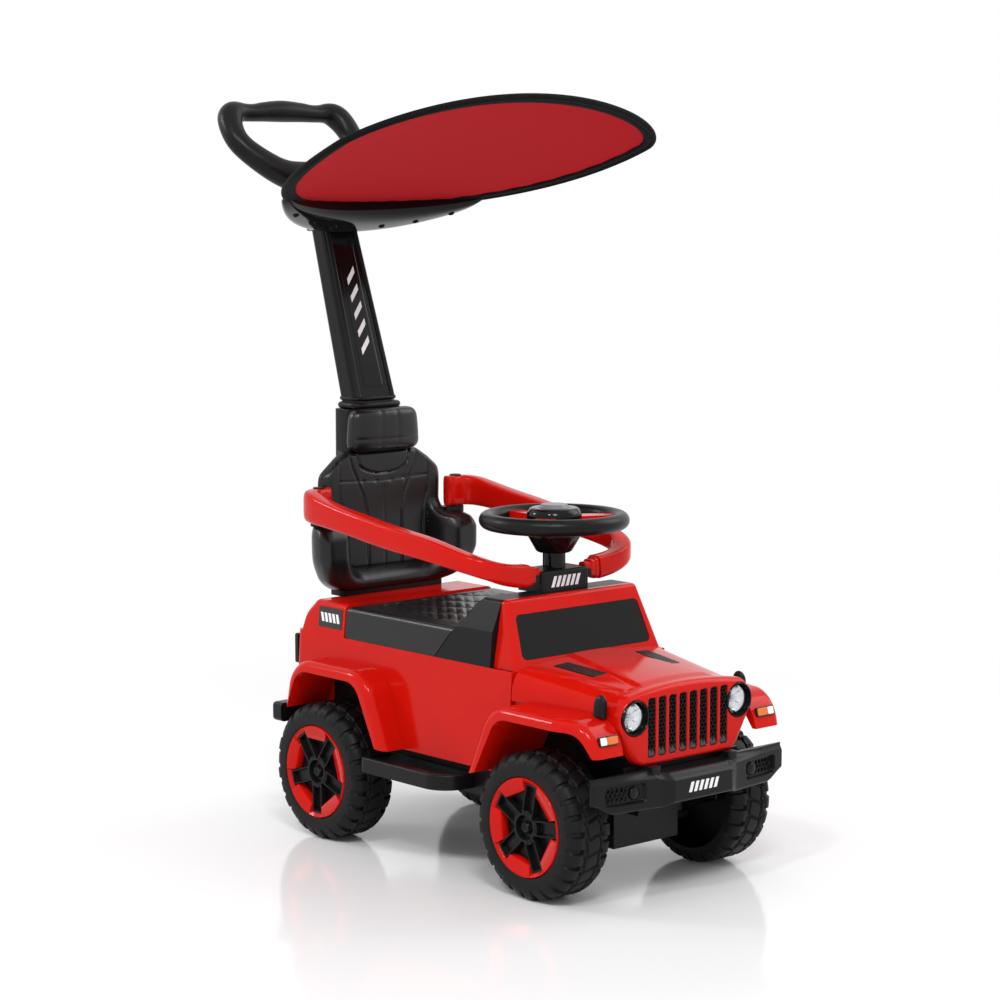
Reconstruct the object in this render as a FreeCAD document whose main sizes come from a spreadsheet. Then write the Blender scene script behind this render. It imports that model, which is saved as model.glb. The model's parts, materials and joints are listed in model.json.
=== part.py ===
import FreeCAD, Part
import math
import os
import re
import Sketcher
from types import SimpleNamespace
from FreeCAD import Vector, Placement, Rotation

# A ride-on push car. Lengths are millimetres. X runs across the car, Y from front to rear, Z up.
# The model is laid out about the middle of the wheelbase and every piece is then moved by frame_shift,
# so that the origin lies on the ground under the middle of the whole car.
sizes = {
    # frame and fits
    "frame_shift": 80.85, "overrun": 5, "seat_gap": 0.3, "run_gap": 0.05, "slide_gap": 0.4,
    # wheels
    "wheel_radius": 85, "wheel_width": 62, "track_outer": 162, "half_base": 192.5,
    "tyre_wall": 7, "tyre_side": 5, "rim_radius": 58, "shoulder": 13, "inner_lip": 19,
    "web_front": 18, "web": 5, "boss_radius": 16, "lug_depth": 4, "lug_reach": 13, "lug_cut": 7,
    "lug_count": 26,
    "ring_width": 7, "ring_proud": 1, "star_hub": 17, "star_depth": 10, "star_rise": 3, "star_cup": 12,
    "spoke_root": 15, "spoke_tip": 22, "spoke_slot": 6, "spoke_count": 5,
    "axle_radius": 6, "axle_head": 10, "axle_head_depth": 4,
    # body seen from the front: the widest half, how far each level is drawn in, and the heights
    "sill_half": 131, "belt_in": 7, "deck_in": 11, "cowl_in": 26,
    "sill_z": 131, "belt_z": 250, "deck_z": 291, "cowl_z": 328, "wall": 2.8,
    # body seen from the side, measured from the wheels or from the tail
    "fire_y": 130, "tail_out": 85.5, "step_in": 12, "lean_in": 22, "deck_lean_z": 280, "deck_end_in": 34,
    "deck_long": 96, "tail_round": 14, "deck_round": 9,
    # wheel arches and flares
    "flare_out": 1, "flare_leg": 15, "flare_top": 14, "flare_round": 11, "tip_taper": 13,
    "tip_taper_long": 52,
    "front_foot_in": 86.5, "front_arch_in": 47.5, "front_arch_out": 80.5, "front_tip_out": 99.5,
    "front_tip_z": 178,
    "front_arch_z": 204, "rear_foot_in": 118.5, "rear_arch_in": 79.5, "rear_arch_out": 34.5,
    "rear_tip_out": 57.5,
    "rear_tip_z": 158, "rear_arch_z": 208, "arch_round": 28, "well_gap": 4, "front_well": 62,
    # bonnet, grille and lamps
    "hood_in": 23, "hood_taper": 4, "hood_edge_z": 238, "hood_crown_z": 257, "hood_out": 86.5,
    "hood_front_drop": 2, "hood_crown_fall": 9, "hood_spread": 13,
    "hood_wall": 3, "hood_round": 15,
    "grille_thick": 14, "grille_low_z": 159, "grille_taper": 18, "grille_round": 16, "brow_round": 9,
    "slot_low_z": 168, "slot_high_z": 236, "slot_count": 8, "slot_margin": 2.2, "insert_thick": 9,
    "insert_margin": 3,
    "lamp_in": 20.5, "lamp_z": 215.7, "lamp_radius": 20, "bezel_wall": 3, "bezel_proud": 4, "lens_thick": 5,
    "bowl_deep": 11.5,
    "vent_x": 52, "vent_width": 28, "vent_in": 85, "vent_long": 54, "vent_depth": 8, "vent_proud": 0.8,
    "vent_slots": 5, "vent_slot": 5, "vent_slot_depth": 2.5,
    "latch_thick": 6, "latch_in": 13, "latch_length": 20, "latch_height": 20,
    "marker_shift": -10, "marker_width": 28, "marker_z": 196.5, "marker_height": 10, "marker_thick": 3,
    # windshield and dash
    "screen_top_y": 100.5, "screen_low_y": 131.6, "screen_back_y": 92, "screen_wall": 5, "screen_in": 13,
    "screen_round": 6, "pane_in": 7, "pane_low_in": 14, "pane_top_z": 311, "pane_low_z": 261,
    "pane_thick": 2.5,
    "pane_sink": 1, "pane_round": 7,
    "dash_rear_y": 8, "dash_lip_y": 25, "dash_lip_z": 289, "dash_rise_y": 46, "dash_rise_z": 318,
    "dash_top_y": 60,
    "dash_wall": 3, "dash_round": 6,
    # bumpers and tail
    "bumper_out": 126.5, "bumper_mid_half": 48, "knee_out": 14, "knee_back": 7, "bumper_end_in": 8,
    "end_back": 21, "thin_back": 25.5, "bumper_thin_out": 26, "bumper_deep": 33, "bumper_low_z": 114,
    "bumper_high_z": 152, "bumper_round": 4, "bumper_cut": 26, "bumper_lift": 13, "pocket_x": 112,
    "pocket_width": 50, "pocket_height": 20, "pocket_depth": 4, "hook_x": 62, "hook_width": 14,
    "hook_rise": 9,
    "hook_depth": 14, "fog_radius": 7, "fog_in": 16, "fog_thick": 2.5, "stay_width": 16, "stay_x": 30,
    "stay_height": 12,
    "tail_bumper_in": 13, "tail_bumper_depth": 20, "tail_bumper_low_z": 133, "tail_bumper_high_z": 157,
    "tail_bumper_round": 5, "tail_lamp_in": 12, "tail_lamp_width": 20, "tail_lamp_z": 224,
    "tail_lamp_height": 38,
    "tail_lamp_thick": 8,
    # floor pan and front axle
    "pan_in": 11, "pan_front_in": 104.5, "pan_back_in": 88.5, "pan_low_z": 95, "pan_plate": 4,
    "pan_rib": 38,
    "spine_half": 60, "spine_in": 8, "pan_wall": 3.5,
    "kingpin_x": 84, "kingpin_radius": 5, "ear_half": 92, "ear_depth": 12, "ear_thick": 8, "ear_low_z": 60,
    "ear_high_z": 104, "carrier_half": 52, "carrier_fore": 33.5, "carrier_aft": 24.5, "carrier_low_z": 48,
    "carrier_high_z": 126, "post_half": 40, "post_depth": 18, "tunnel_half": 34, "bridge_low_z": 60,
    "bridge_high_z": 84, "axle_block_depth": 18, "axle_block_low_z": 70,
    # steering linkage
    "sleeve_radius": 10, "stub_shoulder": 12, "knuckle_arm": 40, "arm_width": 14, "arm_low_z": 86,
    "arm_high_z": 96,
    "link_pin": 4, "bar_thick": 6, "bar_width": 18, "bar_end": 12, "slot_side": 0.8, "slot_run": 3,
    "crank_arm": 25,
    "crank_thick": 7, "stem_width": 20,
    # steering wheel
    "steer_y": 67, "shaft_radius": 6, "wheel_z": 411, "rim_big": 80, "rim_tube": 10, "hub_radius": 33,
    "hub_top_z": 426, "hub_low_z": 394, "cone_low_z": 373, "cone_low_radius": 21, "sleeve_tube": 13.7,
    "block_top_z": 354, "spoke_width": 26, "spoke_thick": 10, "horn_radius": 19, "horn_rise": 4,
    "horn_travel": 3,
    "horn_thick": 8, "block_half": 38, "block_front_y": 88, "block_back_y": 43, "block_round": 4,
    # seat and bin
    "lid_gap": 1, "lid_wall": 3, "lid_top_z": 289, "lid_round": 8, "hinge_in": 10, "hinge_z": 280,
    "hinge_radius": 3,
    "lid_boss": 5.5, "post_in": 12, "post_wide": 9,
    "bin_in": 41, "bin_front_y": 5, "bin_clear": 6, "bin_wall": 2.2, "bin_top_z": 246,
    # backrest and headrest
    "back_low_z": 300, "back_hip_z": 318, "back_wide_z": 344, "back_wing_z": 384, "back_waist_z": 391,
    "back_shoulder_z": 438, "back_top_z": 471, "back_low_half": 92, "back_hip_half": 116,
    "back_wide_half": 130,
    "back_wing_half": 131, "back_waist_half": 100, "back_shoulder_half": 98, "back_top_half": 64,
    "back_aft": 6, "back_deep": 38, "wing_reach": 36, "wing_more": 10, "back_thick": 24, "back_wall": 3,
    "room_front": 9, "room_side": 6,
    "back_lean": 12, "wing_thick": 22, "pad_thick": 7, "pad_margin": 24, "pedestal_in": 32,
    "pedestal_long": 32,
    "spine_width": 84, "spine_aft": 18, "spine_deep": 38, "spine_top_z": 522.5,
    "head_low_half": 56, "head_top_half": 52, "head_drop": 0.5, "head_deep": 20, "head_round": 9,
    # push column, handle and shade
    "column_aft": 33, "column_lean": 81, "column_top_z": 776, "column_low_width": 66,
    "column_top_width": 54,
    "column_low_depth": 36, "column_top_depth": 30, "column_round": 8, "column_wall": 3,
    "collar_height": 13,
    "collar_wall": 6,
    "handle_aft": 99.5, "handle_up": 125, "handle_half": 104, "handle_low_half": 38, "handle_top_half": 84,
    "handle_tube": 14.5, "handle_corner": 45, "handle_top_corner": 26, "handle_low_reach": 48,
    "neck_width": 50, "neck_depth": 29,
    "shade_fore": 323, "shade_up": 103, "shade_half": 253, "shade_front": 92, "shade_rear": 291,
    "shade_sag": 29,
    "shade_pitch": 20.8, "cloth_thick": 1.4, "binding_width": 18, "binding_thick": 8, "hoop_width": 4,
    "hoop_thick": 3, "bracket_half": 158, "bracket_end_out": 238, "bracket_end_in": 222,
    "bracket_mid_out": 328,
    "bracket_mid_in": 262, "bracket_depth": 17, "bracket_cap": 6, "bracket_round": 5, "socket_depth": 46,
    "socket_wall": 8, "screw_x": 70, "screw_radius": 4,
    # guard arms
    "guard_pin_out": 14, "guard_pin_in": 5, "guard_pin_radius": 5, "guard_boss": 11,
    "guard_thick": 22, "guard_rear_height": 39, "guard_front_height": 28, "guard_out": 25,
    "guard_front_y": 77,
    "guard_front_z": 336, "guard_end_x": 57, "guard_round": 6, "lug_thick": 8, "guard_cap": 4,
    "tongue_width": 10, "tongue_height": 13, "tongue_reach": 14, "socket_skin": 3,
    # footboards
    "board_tuck": 20, "board_reach": 48, "board_front_in": 132.5, "board_back_in": 95.5,
    "board_low_z": 102.5,
    "board_top_z": 121, "board_corner": 34, "board_rim": 7, "board_sink": 3,
}
# sizes that follow from others, so that a piece keeps its place when its neighbour changes
rules = {
    # across the car
    "belt_half": "sill_half - belt_in", "deck_half": "sill_half - deck_in",
    "cowl_half": "sill_half - cowl_in",
    "screen_low_half": "sill_half - screen_in", "hood_half": "sill_half - hood_in",
    "hood_back_half": "hood_half + hood_spread",
    "hood_front_half": "hood_half - hood_taper", "pane_top_half": "cowl_half - pane_in",
    "pane_low_half": "screen_low_half - pane_low_in", "pan_half": "sill_half - pan_in",
    "bin_half": "sill_half - bin_in", "post_x": "deck_half - post_in",
    "board_inner": "pan_half - board_tuck",
    "board_outer": "pan_half + board_reach", "lamp_x": "hood_front_half - lamp_in",
    "grille_low_half": "hood_front_half - grille_taper", "tail_lamp_x": "belt_half - tail_lamp_in",
    "pedestal_half": "deck_half - pedestal_in", "rear_well": "track_outer - wheel_width - well_gap",
    "flare_half": "track_outer + flare_out", "marker_x": "(hood_half + flare_half) / 2 + marker_shift",
    "bumper_end_half": "flare_half - bumper_end_in", "tail_bumper_half": "flare_half - tail_bumper_in",
    "bumper_knee_half": "bumper_mid_half + knee_out",
    "bumper_thin_half": "bumper_mid_half + bumper_thin_out",
    "guard_pin_x": "back_shoulder_half + guard_pin_out", "guard_half": "guard_pin_x + guard_out",
    # along the car, ahead of the middle
    "front_foot_y": "half_base - front_foot_in", "front_arch_back_y": "half_base - front_arch_in",
    "front_arch_front_y": "half_base + front_arch_out", "front_tip_y": "half_base + front_tip_out",
    "hood_front_y": "half_base + hood_out", "vent_front_y": "hood_front_y - vent_in",
    "vent_back_y": "vent_front_y - vent_long", "latch_y": "hood_front_y - latch_in",
    "bumper_front_y": "half_base + bumper_out", "bumper_knee_y": "bumper_front_y - knee_back",
    "bumper_end_y": "bumper_front_y - end_back", "bumper_thin_y": "bumper_front_y - thin_back",
    "bumper_back_y": "bumper_front_y - bumper_deep", "pan_front_y": "half_base - pan_front_in",
    "carrier_front_y": "half_base + carrier_fore", "carrier_back_y": "half_base - carrier_aft",
    "board_front_y": "half_base - board_front_in",
    # along the car, behind the middle
    "rear_foot_y": "half_base - rear_foot_in", "rear_arch_front_y": "half_base - rear_arch_in",
    "rear_arch_back_y": "half_base + rear_arch_out", "rear_tip_y": "half_base + rear_tip_out",
    "pan_back_y": "half_base - pan_back_in", "board_back_y": "half_base - board_back_in",
    "tail_y": "half_base + tail_out", "step_y": "tail_y - step_in", "deck_lean_y": "tail_y - lean_in",
    "deck_end_y": "tail_y - deck_end_in", "deck_front_y": "tail_y - deck_long",
    "spine_back_y": "tail_y - spine_in",
    "hinge_y": "deck_front_y - hinge_in", "bin_back_y": "hinge_y - bin_clear",
    "back_front_y": "deck_end_y + back_aft", "back_rear_y": "back_front_y + back_deep",
    "wing_front_y": "back_front_y - wing_reach", "pedestal_front_y": "deck_end_y - pedestal_long",
    "spine_front_y": "back_front_y + spine_aft", "spine_rear_y": "spine_front_y + spine_deep",
    "head_front_y": "spine_front_y - head_deep", "guard_pin_y": "back_front_y - guard_pin_in",
    "column_low_y": "back_front_y + column_aft", "column_top_y": "column_low_y + column_lean",
    "handle_top_y": "column_top_y + handle_aft", "shade_y": "column_top_y - shade_fore",
    # heights
    "head_top_z": "spine_top_z - head_drop", "handle_top_z": "column_top_z + handle_up",
    "shade_z": "column_top_z + shade_up", "guard_low_z": "back_waist_z",
    # grille bars
    "slot_pitch": "(lamp_x - lamp_radius - slot_margin) * 2 / (slot_count - bar_share)",
    "slot_width": "slot_pitch * (1 - bar_share)",
}
# what part of the grille pitch is bar
bar_share = 0.2

document = FreeCAD.newDocument("push_car")
sheet = document.addObject("Spreadsheet::Sheet", "dims")
names = list(sizes) + ["bar_share"] + list(rules)
entries = [str(number) for number in sizes.values()] + [str(bar_share)] + ["=" + rule
                                                                           for rule in rules.values()]
for row, (alias, entry) in enumerate(zip(names, entries), start=1):
    sheet.set("A%d" % row, alias)
    sheet.setAlias("B%d" % row, alias)
    sheet.set("B%d" % row, entry)
document.recompute()
s = SimpleNamespace(**{alias: float(sheet.get(alias)) for alias in names})

across = Vector(1, 0, 0)
along = Vector(0, 1, 0)
upward = Vector(0, 0, 1)
centre = Vector(0, 0, 0)
pieces = []
touch_share = 0.01
round_limit_share = 0.9


def linked(rule):
    # the same rule with each named size read from the sheet
    return re.sub(r"[a-z_]+", lambda m: "dims." + m.group() if m.group() in names else m.group(), rule)


def worth(rule):
    return float(sheet.evalExpression(rule))


def bind(item, **rules):
    for name, rule in rules.items():
        item.setExpression(name.replace("__", "."), linked(rule))


def keep(item, label):
    item.Label = label
    pieces.append(item)
    return item


def solid(label, shape, merge=True):
    # a piece whose shape is worked out in code; its placement moves it to the shared origin;
    # merge joins faces that lie in one surface
    item = document.addObject("Part::Feature", label)
    item.Shape = shape.removeSplitter() if merge else shape
    bind(item, Placement__Base__y="-frame_shift")
    return keep(item, label)


def outline(points):
    # a closed flat wire through (a, b) or (a, b, radius) corners, in the XY plane
    count = len(points)
    starts, ends, bends = [], [], []
    for i, corner in enumerate(points):
        here = Vector(corner[0], corner[1], 0)
        before = Vector(points[i - 1][0], points[i - 1][1], 0) - here
        after = Vector(points[(i + 1) % count][0], points[(i + 1) % count][1], 0) - here
        radius = corner[2] if len(corner) > 2 else 0
        if radius <= 0:
            starts.append(here)
            ends.append(here)
            bends.append(None)
            continue
        before.normalize()
        after.normalize()
        half = before.getAngle(after) / 2
        reach = radius / math.tan(half)
        bisector = (before + after).normalize()
        starts.append(here + before * reach)
        ends.append(here + after * reach)
        bends.append(here + bisector * (radius / math.sin(half) - radius))
    edges = []
    for i in range(count):
        if bends[i] is not None:
            edges.append(Part.Arc(starts[i], bends[i], ends[i]).toShape())
        following = starts[(i + 1) % count]
        if (following - ends[i]).Length > s.run_gap * touch_share:
            edges.append(Part.LineSegment(ends[i], following).toShape())
    return Part.Wire(edges)


def side_prism(points, low, high):
    # outline in (Y, Z), carried across X from low to high
    face = Part.Face(outline(points))
    face.rotate(centre, Vector(1, 1, 1), 120)
    face.translate(across * low)
    return face.extrude(across * (high - low))


def front_prism(points, low, high):
    # outline in (X, Z), carried along Y from low to high
    face = Part.Face(outline(points))
    face.rotate(centre, across, 90)
    face.translate(along * low)
    return face.extrude(along * (high - low))


def plan_prism(points, low, high):
    # outline in (X, Y), carried up Z from low to high
    face = Part.Face(outline(points))
    face.translate(upward * low)
    return face.extrude(upward * (high - low))


def block(x0, x1, y0, y1, z0, z1):
    return Part.makeBox(x1 - x0, y1 - y0, z1 - z0, Vector(x0, y0, z0))


def rod(radius, start, finish):
    way = finish - start
    return Part.makeCylinder(radius, way.Length, start, way)


def mirrored(shape):
    return shape.mirror(centre, across)


def pair(shape):
    return [shape, mirrored(shape)]


def rounded(shape, radius, test):
    chosen = [edge for edge in shape.Edges if test(edge)]
    return shape.makeFillet(radius, chosen) if chosen else shape


def plane_of(body, role):
    return [f for f in body.Origin.OriginFeatures if f.Role == role][0]


def sketch(body, name, role, corners):
    # a closed sketch on an origin plane of the body; each corner is placed by two bound distances
    item = body.newObject("Sketcher::SketchObject", name)
    item.AttachmentSupport = [(plane_of(body, role), "")]
    item.MapMode = "FlatFace"
    spots = [Vector(worth(a), worth(b), 0) for a, b in corners]
    count = len(corners)
    for i in range(count):
        item.addGeometry(Part.LineSegment(spots[i], spots[(i + 1) % count]))
    for i in range(count):
        item.addConstraint(Sketcher.Constraint("Coincident", i, 2, (i + 1) % count, 1))
    for i, rules in enumerate(corners):
        for kind, rule in zip(("DistanceX", "DistanceY"), rules):
            spot = item.addConstraint(Sketcher.Constraint(kind, i, 1, worth(rule)))
            item.setExpression("Constraints[%d]" % spot, linked(rule))
    return item


def new_body(label):
    body = document.addObject("PartDesign::Body", label)
    return keep(body, label)


# wheels
half_width = "wheel_width / 2"
bore = "axle_radius + run_gap"
shoulder_shares = ((6, 2), (2, 8))
wheels = {"front_right": (-1, -1), "front_left": (1, -1), "rear_right": (-1, 1), "rear_left": (1, 1)}


def seat_wheel(item, side, end):
    item.Placement = Placement(centre, Rotation(upward, 0 if side > 0 else 180))
    bind(item, Placement__Base__x="%d * (track_outer - wheel_width / 2)" % side,
         Placement__Base__y="%d * half_base - frame_shift" % end, Placement__Base__z="wheel_radius")


def tread_corners():
    left = [("-%s" % half_width, "wheel_radius - shoulder")]
    for run, fall in shoulder_shares:
        left.append(("-%s + shoulder / %d" % (half_width, run), "wheel_radius - shoulder / %d" % fall))
    left.append(("-%s + shoulder" % half_width, "wheel_radius"))
    right = [("%s - shoulder" % half_width, "wheel_radius")]
    for run, fall in reversed(shoulder_shares):
        right.append(("%s - shoulder / %d" % (half_width, run), "wheel_radius - shoulder / %d" % fall))
    right.append((half_width, "wheel_radius - shoulder"))
    return left + right


def tyre(label, side, end):
    # a bowl: tread wall, outer web with the axle boss, and a lip on the inner side
    body = new_body(label)
    inner = "-%s" % half_width
    corners = [(inner, "wheel_radius - inner_lip")] + tread_corners() + [(half_width, "rim_radius"),
                                                                         ("web_front", "rim_radius"),
                                                                         ("web_front", bore), (inner, bore),
                                                                         (inner, "boss_radius"),
                                                                         ("web_front - web", "boss_radius"),
                                                                         ("web_front - web",
                                                                          "wheel_radius - tyre_wall"),
                                                                         ("%s + tyre_side" % inner,
                                                                          "wheel_radius - tyre_wall"),
                                                                         ("%s + tyre_side" % inner,
                                                                          "wheel_radius - inner_lip")]
    profile = sketch(body, label + "_profile", "XZ_Plane", corners)
    turned = body.newObject("PartDesign::Revolution", label + "_turned")
    turned.Profile = profile
    turned.ReferenceAxis = (profile, ["H_Axis"])
    turned.Angle = 360
    document.recompute()
    for name, start in (("outer", "wheel_width / 2 - lug_reach"), ("inner", "-wheel_width / 2 - overrun")):
        notch = body.newObject("PartDesign::SubtractiveBox", "%s_%s_notch" % (label, name))
        bind(notch, Length="lug_reach + overrun", Width="lug_cut", Height="lug_depth + overrun",
             Placement__Base__x=start, Placement__Base__y="-lug_cut / 2",
             Placement__Base__z="wheel_radius - lug_depth")
        pattern = body.newObject("PartDesign::PolarPattern", "%s_%s_notches" % (label, name))
        pattern.Originals = [notch]
        pattern.Axis = (plane_of(body, "X_Axis"), [""])
        pattern.Angle = 360
        bind(pattern, Occurrences="lug_count")
        body.Tip = pattern
        document.recompute()
    seat_wheel(body, side, end)


def rim_ring(label, side, end):
    body = new_body(label)
    outer = "rim_radius - seat_gap"
    profile = sketch(body, label + "_profile", "XZ_Plane",
                     [("web_front", "%s - ring_width" % outer), ("web_front", outer),
                      ("%s + ring_proud" % half_width, outer),
                      ("%s + ring_proud" % half_width, "%s - ring_width / 2" % outer),
                      (half_width, "%s - ring_width" % outer)])
    turned = body.newObject("PartDesign::Revolution", label + "_turned")
    turned.Profile = profile
    turned.ReferenceAxis = (profile, ["H_Axis"])
    turned.Angle = 360
    seat_wheel(body, side, end)


def hub_star(label, side, end):
    # five split spokes round a cup that hides the axle head
    face = s.web_front
    tip = s.rim_radius - s.seat_gap - s.ring_width - s.seat_gap
    hub = rod(s.star_hub, across * face, across * (face + s.star_depth + s.star_rise))
    spokes = []
    for i in range(int(s.spoke_count)):
        corners = [(-s.spoke_root / 2, 0), (s.spoke_root / 2, 0), (s.spoke_tip / 2, tip),
                   (-s.spoke_tip / 2, tip)]
        spoke = side_prism(corners, face, face + s.star_depth)
        slot = side_prism([(-s.spoke_slot / 2, s.star_hub + s.spoke_slot),
                           (s.spoke_slot / 2, s.star_hub + s.spoke_slot),
                           (s.spoke_slot, tip - s.spoke_slot), (-s.spoke_slot, tip - s.spoke_slot)],
                          face + s.star_depth / 2, face + s.star_depth + s.overrun)
        spoke = spoke.cut(slot).common(rod(tip, across * face, across * (face + s.star_depth)))
        spoke.rotate(centre, across, 360 * i / s.spoke_count)
        spokes.append(spoke)
    cup = rod(s.star_cup, across * face, across * (face + s.star_depth))
    item = document.addObject("Part::Feature", label)
    item.Shape = hub.fuse(spokes).cut(cup).removeSplitter()
    keep(item, label)
    seat_wheel(item, side, end)


for place, (side, end) in wheels.items():
    tyre("tyre_" + place, side, end)
    rim_ring("rim_ring_" + place, side, end)
    hub_star("hub_star_" + place, side, end)

wheel_x = s.track_outer - s.wheel_width / 2
axle_tip = wheel_x + s.web_front + s.seat_gap
axle_z = s.wheel_radius


# body shell
tip_leg_share = 0.4
far = s.tail_y + s.bumper_front_y


def arch(end, foot, near, back, tip, tip_z, top, leg, rise, ground=None):
    # the opening over a wheel, or its flare when grown by leg and rise
    corner = s.arch_round + leg
    points = [(foot - leg, s.sill_z), (near - leg, top + rise, corner), (back + leg, top + rise, corner),
              (tip + leg * tip_leg_share, tip_z)]
    if ground is not None:
        points = [(foot - leg, ground)] + points + [(tip + far, tip_z), (tip + far, ground)]
    return [(end * p[0],) + p[1:] for p in points]


front_arch = (-1, s.front_foot_y, s.front_arch_back_y, s.front_arch_front_y, s.front_tip_y, s.front_tip_z,
              s.front_arch_z)
rear_arch = (1, s.rear_foot_y, s.rear_arch_front_y, s.rear_arch_back_y, s.rear_tip_y, s.rear_tip_z,
             s.rear_arch_z)
wells = ((front_arch, s.front_well), (rear_arch, s.rear_well))


def cabin(inset):
    # the cabin seen from the front, drawn in by inset
    half = [(s.sill_half - inset, 0), (s.sill_half - inset, s.sill_z), (s.belt_half - inset, s.belt_z),
            (s.deck_half - inset, s.deck_z), (s.cowl_half - inset, s.cowl_z)]
    return front_prism(half + [(-x, z) for x, z in reversed(half)], -far, far)


def flare(kind, inner):
    # rounded along its outer edge, but not along the line that closes it below
    tip_z = kind[5]
    prism = side_prism(arch(*kind, s.flare_leg, s.flare_top), inner, s.flare_half)
    outer = s.flare_half
    if kind is front_arch:
        # the front wing narrows towards its tip
        bend_y = s.front_tip_y - s.tip_taper_long
        outer = s.flare_half - 2 * s.tip_taper
        prism = prism.common(plan_prism([(inner, far), (s.flare_half, far), (s.flare_half, -bend_y),
                                         (outer, -bend_y - 2 * s.tip_taper_long),
                                         (inner, -bend_y - 2 * s.tip_taper_long)], 0, s.belt_z))
    return rounded(prism, s.flare_round, lambda e: e.BoundBox.XMin > outer - s.run_gap
                   and e.BoundBox.ZMax > tip_z + s.run_gap)


def well_cut(kind, inner, grow):
    prism = side_prism(arch(*kind, grow, grow, -s.overrun), inner - grow, s.flare_half + s.overrun)
    return pair(prism)


tub = side_prism([(-s.fire_y, s.sill_z), (s.tail_y, s.sill_z), (s.tail_y, s.belt_z), (s.step_y, s.belt_z),
                  (s.deck_lean_y, s.deck_lean_z), (s.deck_end_y, s.deck_z), (s.deck_front_y, s.deck_z),
                  (s.deck_front_y, s.belt_z), (-s.fire_y, s.belt_z)], -s.sill_half,
                 s.sill_half).common(cabin(0))
tail_corner = min(s.tail_round, (s.tail_y - s.step_y) * round_limit_share)
tub = rounded(tub, tail_corner, lambda e: e.BoundBox.YMin > s.tail_y - s.run_gap
              and e.BoundBox.ZLength > s.tail_round)
tub = rounded(tub, s.deck_round, lambda e: e.BoundBox.ZMin > s.belt_z + s.run_gap
              and e.BoundBox.YMax < s.deck_lean_y + s.run_gap
              and e.BoundBox.YMin > s.deck_front_y - s.run_gap
              and e.BoundBox.YMax > s.deck_front_y + s.run_gap)
deck_top = s.front_arch_z + s.flare_top
nose = block(-s.hood_half, s.hood_half, -s.hood_front_y, -s.fire_y, s.sill_z, deck_top)
nose = nose.fuse(block(-s.hood_back_half, s.hood_back_half, -s.front_arch_back_y - s.flare_leg, -s.fire_y,
                       s.front_arch_z, deck_top))
shell = tub.fuse([nose] + pair(flare(front_arch, s.front_well)) + pair(flare(rear_arch, s.rear_well)))
for kind, inner in wells:
    shell = shell.cut(well_cut(kind, inner, 0))
face_half = s.hood_front_half + s.bezel_wall + s.seat_gap
shell = shell.cut(block(-face_half, face_half, -far, -s.hood_front_y, 0, s.belt_z))
hollow = block(-s.sill_half, s.sill_half, -s.fire_y + s.wall, s.deck_front_y, s.sill_z + s.wall,
               s.belt_z + s.overrun)
hollow = hollow.fuse([block(-s.sill_half, s.sill_half, -s.fire_y + s.wall, s.tail_y - s.wall,
                            s.sill_z + s.wall, s.belt_z - s.wall),
                      side_prism([(s.deck_front_y + s.wall, s.belt_z - s.wall),
                                  (s.step_y - s.wall, s.belt_z - s.wall),
                                  (s.deck_lean_y - s.wall, s.deck_lean_z - s.wall),
                                  (s.deck_end_y - s.wall, s.deck_z - s.wall),
                                  (s.deck_front_y + s.wall, s.deck_z - s.wall)], -s.sill_half,
                                 s.sill_half)]).common(cabin(s.wall))
hollow = hollow.fuse(block(s.wall - s.front_well, s.front_well - s.wall, s.wall - s.hood_front_y,
                           -s.pan_front_y, -s.overrun, deck_top - s.wall))
for kind, inner in wells:
    hollow = hollow.cut(well_cut(kind, inner, s.wall))
shell = shell.cut(hollow)
shell = shell.cut(rod(s.shaft_radius + s.run_gap, Vector(0, -s.steer_y, 0),
                      Vector(0, -s.steer_y, s.belt_z)))
post_low = s.belt_z - s.wall - s.lid_boss
post = block(s.post_x, s.belt_half - s.wall / 2, s.hinge_y - s.lid_boss, s.hinge_y + s.lid_boss, post_low,
             s.belt_z)
post = post.fuse([block(s.post_x, s.post_x + s.post_wide, s.hinge_y - s.lid_boss, s.hinge_y + s.lid_boss,
                        s.belt_z - s.wall, s.hinge_z), rod(s.lid_boss,
                                                           Vector(s.post_x, s.hinge_y, s.hinge_z),
                                                           Vector(s.post_x + s.post_wide, s.hinge_y,
                                                                  s.hinge_z))])
post = post.cut(rod(s.hinge_radius + s.run_gap, Vector(0, s.hinge_y, s.hinge_z),
                    Vector(s.sill_half, s.hinge_y, s.hinge_z)))
shell = shell.fuse(pair(post))
solid("body_shell", shell)


# bonnet, grille and lamps
def hood_section(y, half, edge, crown, low):
    corners = [Vector(-half, y, low), Vector(-half, y, edge), Vector(half, y, edge), Vector(half, y, low)]
    top = Part.Arc(corners[1], Vector(0, y, crown), corners[2]).toShape()
    sides = [Part.LineSegment(corners[0], corners[1]).toShape(),
             Part.LineSegment(corners[2], corners[3]).toShape()]
    return Part.Wire([sides[0], top, sides[1], Part.LineSegment(corners[3], corners[0]).toShape()])


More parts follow.
